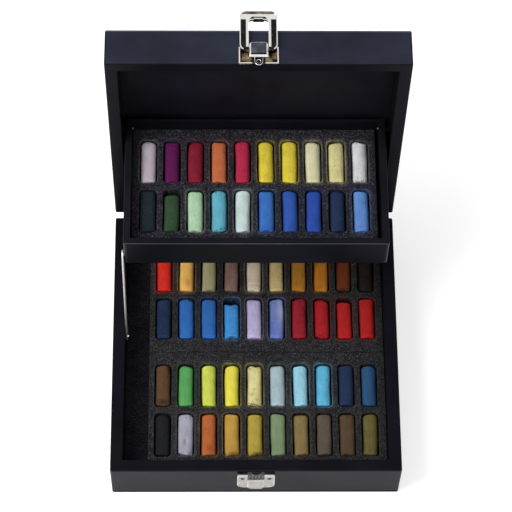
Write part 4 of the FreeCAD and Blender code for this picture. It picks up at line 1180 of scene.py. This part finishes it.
@dataclass
class SlottedPad:
    """Foam pad with a rounded slot for every stick of two rows."""

    node: str
    body: str
    front_row: str
    back_row: str
    seed: int
    slot_half: Range = (7.5, 20.4)
    slot_radius: float = 3.8
    lip: float = 0.7  # radius of the slots' top edges
    edge: float = 1.0  # radius of the pad's own edges
    arc: int = 7  # points on a slot's corner
    side: int = 14  # points between two corners
    wobble: Range = (0.02, 0.11)  # of the slots' outlines
    wobble_waves: tuple[int, ...] = (2, 3, 5, 9)
    tightness: float = 0.05  # by which the slots are narrower
    foot: float = 2.0  # height of the lowest ring of a slot's wall
    shoulder: float = 0.25  # flat beyond a slot's lip
    unevenness: Triple = (0.13, 4, 30)  # height, shortest and longest wave
    dust: Dust = Dust()
    blends: tuple[float, ...] = (0.12, 0.3, 0.55, 0.8, 1.0)  # from the slot's lip to the cell's bounds
    fades: tuple[float, ...] = (0.35, 0.8, 1, 1, 1)  # share of the unevenness there

    def cell_bounds(self, middles: Array, low: float, high: float) -> Array:
        """Limits of the cells round the slots' middles, within the pad's own limits."""
        return np.concatenate([[low + self.edge], (middles[1:] + middles[:-1]) / 2, [high - self.edge]])

    def uneven(self, level: Array) -> Array:
        """Unevenness of the pad's top at places (..., 2)."""
        height, shortest, longest = self.unevenness
        return height * ripple(level[..., 0], level[..., 1], self.seed, shortest, longest)

    def cell(self, middle: Array, bounds: tuple[float, float, float, float], z: Range,
             wobble: Array) -> tuple[Array, Array]:
        """Surface of one cell: under the foam, up the slot's wall, over its lip and out to the bounds.

        The slot's loop moves outward along its own normals; on top it blends evenly into the cell's
        rectangle, whose sides are divided as the loop is, so that neighbours meet point to point.

        Args:
            middle: the slot's middle.
            bounds: left, right, front and back of the cell.
            z: bottom and top of the foam.
            wobble: unevenness of the slot's outline, one number for each point.

        Returns:
            Points (layers, around, 3) and each point's distance from the slot's edge.
        """
        (x, y), (half_x, half_y) = middle[:2], self.slot_half
        slot = Outline(x - half_x, x + half_x, y - half_y, y + half_y, (self.slot_radius,) * 4)
        loop, outside = (np.roll(slot.grown(by, self.arc, self.side), -(self.arc // 2), axis=0)
                         for by in (0, 1))
        left, right, front, back = bounds
        corners = np.array([(right, front), (right, back), (left, back), (left, front)])
        share = np.arange(self.arc + self.side) / (self.arc + self.side)
        ahead = np.roll(corners, -1, axis=0) - corners
        rectangle = (corners[:, None] + ahead[:, None] * share[None, :, None]).reshape(-1, 2)
        bottom, top = z
        turn = np.radians([0, 22.5, 45, 67.5, 90])
        grow = np.concatenate([[0, 0, 0], self.lip * (1 - np.cos(turn)), [self.lip + self.shoulder]])
        heights = np.concatenate([[bottom, bottom + self.foot, (bottom + top) / 2],
                                  top - self.lip + self.lip * np.sin(turn), [top]])
        rings = loop[None] + (outside - loop)[None] * (grow[:, None, None] + wobble[None, :, None])
        share = np.array(self.blends)[:, None, None]
        flat = rings[-1][None] * (1 - share) + rectangle[None] * share
        level = np.concatenate([rectangle[None], rings, flat])
        height = np.concatenate([[bottom], heights, np.full(len(self.blends), top)])
        fade = np.concatenate([np.zeros(1 + len(heights)), self.fades])[:, None]
        points = np.concatenate([level, (height[:, None] + fade * self.uneven(level))[..., None]], axis=-1)
        beyond = np.linalg.norm(level - loop[None], axis=-1)
        beyond[0] = np.inf
        return points, beyond

    def ribbon(self, x_stops: Array, y_stops: Array, z: Range) -> Array:
        """Rolled edge and outer side of the pad, from its top to its underside.

        The rectangle round the stops grows by a quarter arc of the edge's radius, then drops.

        Args:
            x_stops: places of the points along the front and back.
            y_stops: places of the points along the sides.
            z: bottom and top of the foam.

        Returns:
            Points (rows, around, 3).
        """
        left, right, front, back = x_stops[0], x_stops[-1], y_stops[0], y_stops[-1]
        loop = np.concatenate([np.stack(np.broadcast_arrays(x, y), axis=-1) for x, y in (
            (x_stops[:-1], front), (right, y_stops[:-1]), (x_stops[:0:-1], back), (left, y_stops[:0:-1]))])
        middle = np.array([(left + right) / 2, (front + back) / 2])
        reach = np.array([(right - left) / 2, (back - front) / 2])
        bottom, top = z
        turn = np.radians([0, 30, 60, 90])
        out = np.concatenate([self.edge * np.sin(turn), [self.edge, 0]])
        height = np.concatenate([top - self.edge * (1 - np.cos(turn)), [bottom, bottom]])
        level = middle + (loop - middle)[None] * ((reach + out[:, None]) / reach)[:, None]
        uneven = self.uneven(level) * (height > bottom)[:, None]
        return np.concatenate([level, (height[:, None] + uneven)[..., None]], axis=-1)

    def build(self, foam: Material) -> None:
        """Mesh of the pad with pigment dust round its slots.

        Args:
            foam: its material.
        """
        rng = np.random.default_rng(self.seed)
        low, high = span(self.node)
        rows = [ROWS[self.front_row], ROWS[self.back_row]]
        middles = [row.centres() for row in rows]
        x_bounds = self.cell_bounds(middles[0][:, 0], low[0], high[0])
        y_bounds = self.cell_bounds(np.array([m[0, 1] for m in middles]), low[1], high[1])
        count = self.arc + self.side
        turn = np.linspace(0, FULL_TURN, 4 * count, endpoint=False)
        cells, dust = [], []
        for r, row in enumerate(rows):
            for c, pigment in enumerate(row.pigments):
                wobble = sum(a * np.sin(k * turn + p) for k, a, p in zip(
                    self.wobble_waves, rng.uniform(*self.wobble, 4), rng.uniform(*PHASES, 4)))
                bounds = (x_bounds[c], x_bounds[c + 1], y_bounds[r], y_bounds[r + 1])
                points, beyond = self.cell(middles[r][c], bounds, (low[2], high[2]),
                                           wobble - self.tightness)
                cells.append(points)
                dust.append(self.powder(rng, np.array(linear(pigment.value)), beyond, turn))
        layers = cells[0].shape[0]
        faces = repeated(grid_faces(layers, 4 * count, round_columns=True, flipped=True), len(cells),
                         layers * 4 * count)
        share = np.arange(count) / count
        stops = [np.append((b[:-1, None] + (b[1:] - b[:-1])[:, None] * share).ravel(), b[-1])
                 for b in (x_bounds, y_bounds)]
        ribbon = self.ribbon(*stops, (low[2], high[2]))
        points, dust = np.reshape(cells, (-1, 3)), np.reshape(dust, (-1, 4))
        side = grid_faces(*ribbon.shape[:2], round_columns=True, flipped=True) + len(points)
        ribbon = ribbon.reshape(-1, 3)
        piece = make_piece(Tag(self.node + "_foam", self.body, "foam", (self.node,)),
                           np.concatenate([points, ribbon]), [faces, side], foam, sharp=75.0,
                           tints={"dust": np.concatenate([dust, np.zeros((len(ribbon), 4))])})

    def powder(self, rng: np.random.Generator, colour: Array, beyond: Array, turn: Array) -> Array:
        """Pigment dust of one cell: alpha = strength exp(-distance / reach), patchy round the slot.

        Vivid pigments leave more dust, reds the most, and every lip has a pale rim of its own.

        Args:
            rng: the pad's random numbers.
            colour: linear colour of the cell's pigment.
            beyond: distance of each point from the slot's edge.
            turn: angle of each point round the slot.

        Returns:
            Array of (layers, around, 4): colour, and how much of the foam it covers.
        """
        d = self.dust
        vivid = float(colour[:3].max() - d.grey * colour[:3].min())
        red = float(colour[0] > d.red * colour[1])
        base, more, redder = d.strength
        strength = (base + more * vivid) * rng.uniform(*d.share) * (1 + redder * red)
        reach = rng.uniform(*d.reach) * (1 + d.red_reach * red)
        patchy = 1 + sum(a * np.sin(k * turn + rng.uniform(*PHASES)) for a, k in d.patches)
        cover = strength * np.exp(-beyond / reach) * patchy
        rim = np.exp(-((beyond - self.lip) / d.rim_width) ** 2) * rng.uniform(*d.rim)
        rim = rim * (d.rim_base + vivid) * patchy
        pale = colour * (1 - d.paleness) + np.array(linear(d.pale)) * d.paleness
        cover, rim = cover[..., None], rim[..., None]
        mixed = colour * (d.shade[0] - d.shade[1] * red) * cover + pale * rim
        mixed = mixed / np.maximum(cover + rim, 1e-6)
        return np.concatenate([mixed[..., :3], np.clip(cover + rim, 0, d.thickest)], axis=-1)


@dataclass
class Underlay:
    """Thin foam sheet under the pads, bare beside them."""

    node: str
    body: str
    seed: int
    edge: float = 0.8  # height of the rolled edge
    lines: int = 70  # points across the sheet each way
    sag: float = 0.15  # deepest hollow of its top
    waves: Range = (5, 40)  # shortest and longest of its hollows
    bevel: Range = (0.25, 0.3)  # depth and drop halfway down the rolled edge

    def build(self, foam: Material) -> None:
        """Mesh of the sheet: a slab whose top sinks a little and rolls down at its edges.

        Args:
            foam: its material.
        """
        low, high = span(self.node)
        thick = high[2] - low[2]
        inward, down = self.bevel
        x, y = np.meshgrid(*(np.concatenate([
            [a, a, a + inward], np.linspace(a + self.edge, b - self.edge, self.lines), [b - inward, b, b]])
            for a, b in zip(low[:2], high[:2])))
        drop = np.concatenate([[thick, self.edge, down], np.zeros(self.lines), [down, self.edge, thick]])
        fall = np.maximum(drop[None, :], drop[:, None])
        hollow = 0.5 + 0.5 * ripple(x, y, self.seed, *self.waves)
        top = high[2] - fall - self.sag * hollow * (fall == 0)
        points = np.concatenate([np.stack([x, y, z], axis=-1).reshape(-1, 3)
                                 for z in (top, np.full(x.shape, low[2]))])
        faces = [grid_faces(*x.shape), grid_faces(*x.shape, flipped=True) + x.size]
        piece = make_piece(Tag(self.node + "_foam", self.body, "foam", (self.node,)), points, faces, foam,
                           sharp=75.0)


# ---- Box and tray ---------------------------------------------------------------------------
@dataclass
class Carcass:
    """Four lacquered walls, base or lid, whose mitres are closed under the lacquer."""

    body: str
    rim: float
    far: float
    corner: float = 1.6
    inner_corner: float = 0.3
    arris: float = 0.9
    inner_arris: float = 0.45
    highlight_band: float = 1.7  # height of the painted highlight band under the front's upper edge
    shadow_band: float = 3.6  # height of the painted shadow band along the base's lower edge

    def section(self) -> Array:
        """Section of a wall as (depth, z): eased arrises, and a rebate for the panel at the far side."""
        up = 1 if self.far < self.rim else -1
        inside, rebate = self.far + up * PANEL, WALL - REBATE
        low, high = sorted((self.rim, self.far))
        outside = [(0, low, self.arris), (0, self.shadow_band, 0), (0, high - self.highlight_band, 0), (0, high, self.arris)]
        if up < 0:
            outside.pop(1)
        return eased(outside + [(WALL, self.rim, self.inner_arris), (WALL, inside, 0), (rebate, inside, 0),
                                (rebate, self.far, 0)][::up])

    def build(self, lacquer: Material, second: Material, edge_highlight: Material) -> None:
        """Mesh of the walls.

        Args:
            lacquer: finish of the walls.
            second: finish of the base's painted shadow band, or of the lid's front, painted lighter as a
                painted reflection.
            edge_highlight: finish of the painted highlight along the front's upper edge.
        """
        lid = self.far > self.rim
        inner_x, inner_y = HALF_WIDTH - WALL, HALF_DEPTH - WALL
        outer = Outline(-HALF_WIDTH, HALF_WIDTH, -HALF_DEPTH, HALF_DEPTH, (self.corner,) * 4)
        inner = Outline(-inner_x, inner_x, -inner_y, inner_y, (self.inner_corner,) * 4)
        points, faces = walls(outer, inner, WALL, self.section())

        def second_faces(middles: Array, _: Array) -> Array:
            """The lid's front, which lies just before the shut box's and gets a painted reflection, or the
            base's painted shadow band.
            """
            return on_lid(middles)[1] > -NEAR if lid else middles[:, 2] < self.shadow_band

        def highlight_faces(middles: Array, _: Array) -> Array:
            """The front's upper edge, which gets a painted highlight."""
            there = opened(middles, -OPEN_ANGLE) if lid else middles
            edge = np.abs(there[:, 2] - max(self.rim, self.far)) < self.highlight_band
            return edge & (there[:, 1] < self.arris - HALF_DEPTH)

        tag = Tag(self.body + "_walls", self.body, "lacquered_wood",
                  tuple(f"{self.body}_{side}" for side in ("front", "back", "left", "right")))
        make_piece(tag, opened(points) if lid else points, [faces], lacquer,
                   ((second, second_faces), (edge_highlight, highlight_faces)))


@dataclass
class Tray:
    """Lacquered tray: thick front and sides, thin back."""

    body: str = "tray"
    wall: float = 5.7
    back_wall: float = 2.4
    corner: float = 2.5
    back_corner: float = 0.7
    inner_corner: float = 0.3
    arris: float = 0.6
    outward: float = 0.25  # least share, forward and up, of the normal of a face that gets the painted highlight

    def build(self, lacquer: Material, edge_highlight: Material) -> None:
        """Mesh of the four walls, and the bottom's finish.

        Args:
            lacquer: the tray's finish.
            edge_highlight: finish of the painted highlight on its outer top arris.
        """
        low, high = span("tray_front")
        back = span("tray_back")[1][1]
        outer = Outline(low[0], high[0], low[1], back,
                        (self.corner, self.back_corner, self.back_corner, self.corner))
        inner = Outline(low[0] + self.wall, high[0] - self.wall, low[1] + self.wall, back - self.back_wall,
                        (self.inner_corner,) * 4)
        section = eased([(0, low[2], self.arris), (0, high[2], self.arris),
                         (self.wall, high[2], self.arris / 2), (self.wall, low[2], 0)], hug=0.08)
        points, faces = walls(outer, inner, self.wall, section)

        def arris_faces(middles: Array, normals: Array) -> Array:
            """The front's outer top arris, which gets a painted highlight."""
            facing = (normals[:, 1] < -self.outward) & (normals[:, 2] > self.outward)
            return facing & (middles[:, 1] < low[1] + self.arris)

        tag = Tag("tray_walls", self.body, "lacquered_wood",
                  ("tray_front", "tray_left", "tray_right", "tray_back"))
        make_piece(tag, points, [faces], lacquer, ((edge_highlight, arris_faces),))
        dress("tray_bottom", lacquer)


# ---- Metalwork ------------------------------------------------------------------------------
@dataclass
class Linkage:
    """Steel arm, its pin and stud, and the tray's rear pivots."""

    head: Head = Head(2.2, 1.6)

    def build(self, f: Finishes) -> None:
        """Arm, stud, domed pivot heads and dark spacers."""
        softened("support_arm", "support_arm", "steel", 0.3, f.strip)
        softened("arm_stud", "tray", "steel", 0.15, f.steel)
        for node, body, way, metal in (("arm_pin", "base", 1, f.bright),
                                       ("tray_pivot_screw_left", "lid", 1, f.dark_steel_and_shade),
                                       ("tray_pivot_screw_right", "lid", -1, f.dark_steel_and_shade)):
            low, high = span(node)
            seat = (low + high) / 2
            seat[0] = high[0] - self.head.rise if way > 0 else low[0] + self.head.rise
            tag = Tag(node + "_head", body, "steel", (node,))
            self.head.heads(tag, seat[None], np.array([way, 0, 0]), metal)
        for side in ("left", "right"):
            softened("tray_spacer_" + side, "lid", "steel", 0.2, f.lacquer)


@dataclass
class Hinges:
    """Two butt hinges on the back, with countersunk screws."""

    screw: Head = Head(1.9, 0.25, (0.5, 0.35))
    screw_spacing: float = 16.0
    turns: tuple[float, ...] = (20.0, -35.0, 75.0, 5.0)
    centres: Range = (-70.0, 70.0)
    leaf_face: float = 123.2
    drop: float = 12.0

    def build(self, f: Finishes) -> None:
        """Leaves, pins and screws."""
        for part in ("base", "lid"):
            for side in ("left", "right"):
                softened(f"hinge_{part}_leaf_{side}", part, "hinge_metal", 0.2, f.steel)
        softened("hinge_pins", "base", "hinge_metal", 0.2, f.steel)
        x = [c + s * self.screw_spacing / 2 for c in self.centres for s in (-1, 1)]
        for body, upward in (("base", -1), ("lid", 1)):
            seats = np.array([(v, self.leaf_face, HINGE_Z + upward * self.drop) for v in x])
            way = np.array([0.0, 1.0, 0.0])
            if body == "lid":
                seats, way = opened(seats), opened(way) - opened(way * 0)
            tag = Tag(f"hinge_{body}_screw_heads", body, "hinge_metal", (f"hinge_{body}_screws",))
            self.screw.heads(tag, seats, way, f.steel, self.turns)


@dataclass
class Latch:
    """Nickel-plated toggle latch on the lid: backplate, bevelled bridge, tongue, pin and lever.

    An "out" is a distance in front of the lid and a "rise" one over its rim.
    """

    plate_out: float = 1.0
    tongue_out: float = 2.8
    channel_out: float = 3.2
    bridge_out: float = 6.0
    eyes_rise: float = 14.5  # top of the lever's eyes
    eyes: Range = (9.1, 14.4)  # from and to this distance from the middle
    opening_rise: float = 40.3  # far edge of the lever's opening
    channel_end: float = 41.6  # where the legs' dark channels end in the bar
    lip_rise: float = 46.6
    inner_band: float = 10.2  # the channel stays bright, without painted shade, from the opening to here
    window: Triple = (8.3, 5.4, 3.8)  # half widths below and above, height
    window_foot: float = -0.4  # share of its height at which it starts
    shine: Triple = (3.8, 1.2, 2.7)  # bright bar in it: half width, lowest, highest
    tongue_shade: float = 5.4
    bridge_shade: float = 7.4
    rivet: Head = Head(1.0, 0.45)
    rivet_spacing: float = 28.0
    rivet_rise: float = 13.6

    def plane(self, x: float, rise: float, across: float, up: float) -> Plane:
        """Plane through a place in front of the lid, square to a direction in the lid's front.

        Args:
            x: place from the middle.
            rise: its height over the lid's rim.
            across: the direction's share along x.
            up: its share away from the rim.

        Returns:
            Point in metres and normal, both as the lid stands open.
        """
        place, ahead = (opened(np.array([x + k * across, -HALF_DEPTH, LID_RIM + rise + k * up]))
                        for k in (0, 1))
        return Vector(place) * MM, Vector(ahead - place)

    def facing(self, out: float, below: float = math.inf) -> Chooser:
        """Chooser of the flat faces at an out whose middles lie below a rise."""
        def choose(middles: Array, _: Array) -> Array:
            """Faces at that out."""
            _, outs, rises = on_lid(middles)
            return (np.abs(outs - out) < NEAR) & (rises < below)
        return choose

    def shaded_faces(self, middles: Array, _: Array) -> Array:
        """Faces of the lever painted dark as shade and dark reflection: the legs' channels, the eyes in them
        and the opening's window.

        The window is a trapezium over the opening's far edge, apart from the bright bar in it.

        Args:
            middles: middles of the faces.

        Returns:
            Whether each face is dark.
        """
        x, out, rise = on_lid(middles)
        channel = (np.abs(out - self.channel_out) < NEAR) & (rise < self.channel_end)
        eyes = (out > self.channel_out + NEAR) & (rise < self.eyes_rise)
        eyes &= (x > self.eyes[0]) & (x < self.eyes[1])
        (below, above, height), (shine, lowest, highest) = self.window, self.shine
        rise = rise - self.opening_rise
        up = rise / height
        frame = (out > self.channel_out - NEAR) & (up > self.window_foot) & (up < 1)
        frame &= x < below + (above - below) * np.clip(up, 0, 1)
        frame &= ~((x < shine) & (rise > lowest) & (rise < highest))
        return (channel & (x > self.inner_band)) | eyes | frame

    def lever_cuts(self) -> tuple[Plane, ...]:
        """Planes that divide the lever's faces where its finishes change."""
        (below, above, height), (shine, *ends) = self.window, self.shine
        rises = (self.channel_end, *(self.opening_rise + v for v in (*ends, height)), self.lip_rise)
        cuts = [self.plane(0, rise, 0, 1) for rise in rises]
        for side in (-1, 1):
            cuts += [self.plane(side * self.inner_band, 0, 1, 0), self.plane(side * shine, 0, 1, 0),
                     self.plane(side * below, self.opening_rise, side, (below - above) / height)]
        return tuple(cuts)

    def build(self, f: Finishes) -> None:
        """Every piece of the latch, with painted shade and dark reflection in its hollows, between bright
        edges.
        """
        lid = ("lid", "bright_nickel")
        # The plate's face is painted with reflections, and round the tongue with painted shade.
        softened("latch_plate", *lid, 0.16, f.bright, (f.plate_reflection, self.facing(self.plate_out)),
                 (f.shade_and_reflection, lambda middles, _: np.abs(middles[:, 0]) < self.tongue_shade),
                 cuts=tuple(self.plane(side * self.tongue_shade, 0, 1, 0) for side in (-1, 1)))
        softened("latch_bridge", *lid, 0.2, f.bright, (f.brushed, self.facing(self.bridge_out)),
                 (f.shade_and_reflection, self.facing(self.bridge_out, self.bridge_shade)),
                 cuts=(self.plane(0, self.bridge_shade, 0, 1),))
        # The tongue's front is painted dark as shade and dark reflection.
        softened("latch_tongue", *lid, 0.3, f.bright, (f.shade_and_reflection, self.facing(self.tongue_out)))
        softened("latch_pin", *lid, 0.2, f.shade_and_reflection)
        # The lever's channels, eyes and window are painted dark as shade and dark reflection; its lip is warm
        # grey.
        softened("latch_lever", "latch_lever", "bright_nickel", 0.3, f.bright, (f.shade_and_reflection, self.shaded_faces),
                 (f.warm_grey_lip, lambda middles, _: on_lid(middles)[2] > self.lip_rise),
                 cuts=self.lever_cuts())
        seats = np.array([(side * self.rivet_spacing / 2, -HALF_DEPTH - self.plate_out,
                           LID_RIM + self.rivet_rise) for side in (-1, 1)])
        way = opened(np.array([0, -1.0, 0])) - opened(np.zeros(3))
        self.rivet.heads(Tag("latch_rivet_heads", *lid, ("latch_rivets",)), opened(seats), way, f.shade_and_reflection)


@dataclass
class Catch:
    """Satin-nickel catch on the base: pan-shaped plate with a ribbed recess, boss and keeper."""

    recess_out: float = 0.6  # each out is a distance in front of the base
    rib_out: float = 1.2
    plate_out: float = 1.6
    boss_out: float = 2.2
    shade: Range = (44.9, 43.2)  # feet of the plate's painted shade band and of the painted highlight line below
    shade_half: float = 15.3  # the band's half width
    screw: Head = Head(2.0, 0.6, (0.8, 0.5))
    screw_spacing: float = 23.2
    screw_drop: float = 14.3
    turns: Range = (35.0, -30.0)
    upright: float = 0.5  # an upright face's normal rises less than this

    def at(self, out: float, low: float = 0.0) -> Chooser:
        """Chooser of the flat faces at an out whose middles lie above a height."""
        return lambda middles, _: (np.abs(-HALF_DEPTH - middles[:, 1] - out) < NEAR) & (
            middles[:, 2] > low)

    def band(self, middles: Array, _: Array) -> Array:
        """Faces of the painted shade band across the plate's top."""
        return (middles[:, 2] > self.shade[0]) & (np.abs(middles[:, 0]) < self.shade_half)

    def build(self, f: Finishes) -> None:
        """Plate with a recess painted black as shade, keeper and two screws."""
        base = ("base", "satin_nickel")
        # The flats take a darker satin as painted shade; the recess, ribs and top band are painted dark as
        # shade, and the line under the band bright as a painted highlight.
        softened("catch_plate", *base, 0.2, f.satin, (f.satin_shade, self.at(self.plate_out)),
                 (f.satin_shade, self.at(self.boss_out)), (f.recess, self.at(self.recess_out)),
                 (f.dark_steel_and_shade, self.at(self.rib_out)), (f.bright, self.at(self.plate_out, self.shade[1])),
                 (f.recess, self.band),
                 cuts=tuple((Vector((0, 0, z)) * MM, Vector((0, 0, 1))) for z in self.shade))
        # The keeper is painted dark as shade and dark reflection.
        softened("catch_keeper", *base, 0.3, f.dark_steel_and_shade,
                 (f.shade_and_reflection, lambda _, normals: np.abs(normals[:, 2]) < self.upright))
        # The screw heads are dark, as painted shade in their countersinks.
        seats = np.array([(side * self.screw_spacing / 2, -HALF_DEPTH - self.plate_out,
                           BASE_HEIGHT - self.screw_drop) for side in (-1, 1)])
        self.screw.heads(Tag("catch_screw_heads", *base, ("catch_screws",)), seats, np.array([0, -1, 0]),
                         f.dark_steel_and_shade, self.turns)


def main() -> None:
    """Build the studio, the finishes and every piece."""
    logging.basicConfig(level=logging.INFO)
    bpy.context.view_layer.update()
    Studio().build()
    f = Finishes()
    Carcass("base", BASE_HEIGHT, 0.0).build(f.lacquer, f.shadow_band, f.highlight_band)
    Carcass("lid", LID_RIM, LID_TOP).build(f.lacquer, f.lid_front, f.edge_highlight)
    dress("base_floor", f.lacquer)
    dress("lid_panel", f.panel_light)
    Tray().build(f.tray, f.edge_highlight)
    Underlay("base_underlay", "base", 31).build(f.underlay)
    Underlay("tray_underlay", "tray", 32).build(f.underlay)
    SlottedPad("front_pad", "base", "front_pad_sticks_front", "front_pad_sticks_back", 21).build(f.base_foam)
    SlottedPad("rear_pad", "base", "rear_pad_sticks_front", "rear_pad_sticks_back", 22).build(f.base_foam)
    SlottedPad("tray_pad", "tray", "tray_sticks_front", "tray_sticks_back", 23).build(f.tray_foam)
    for row in ROWS.values():
        row.build(f.chalk)
    for assembly in (Linkage(), Hinges(), Latch(), Catch()):
        assembly.build(f)


if __name__ == "__main__":
    main()
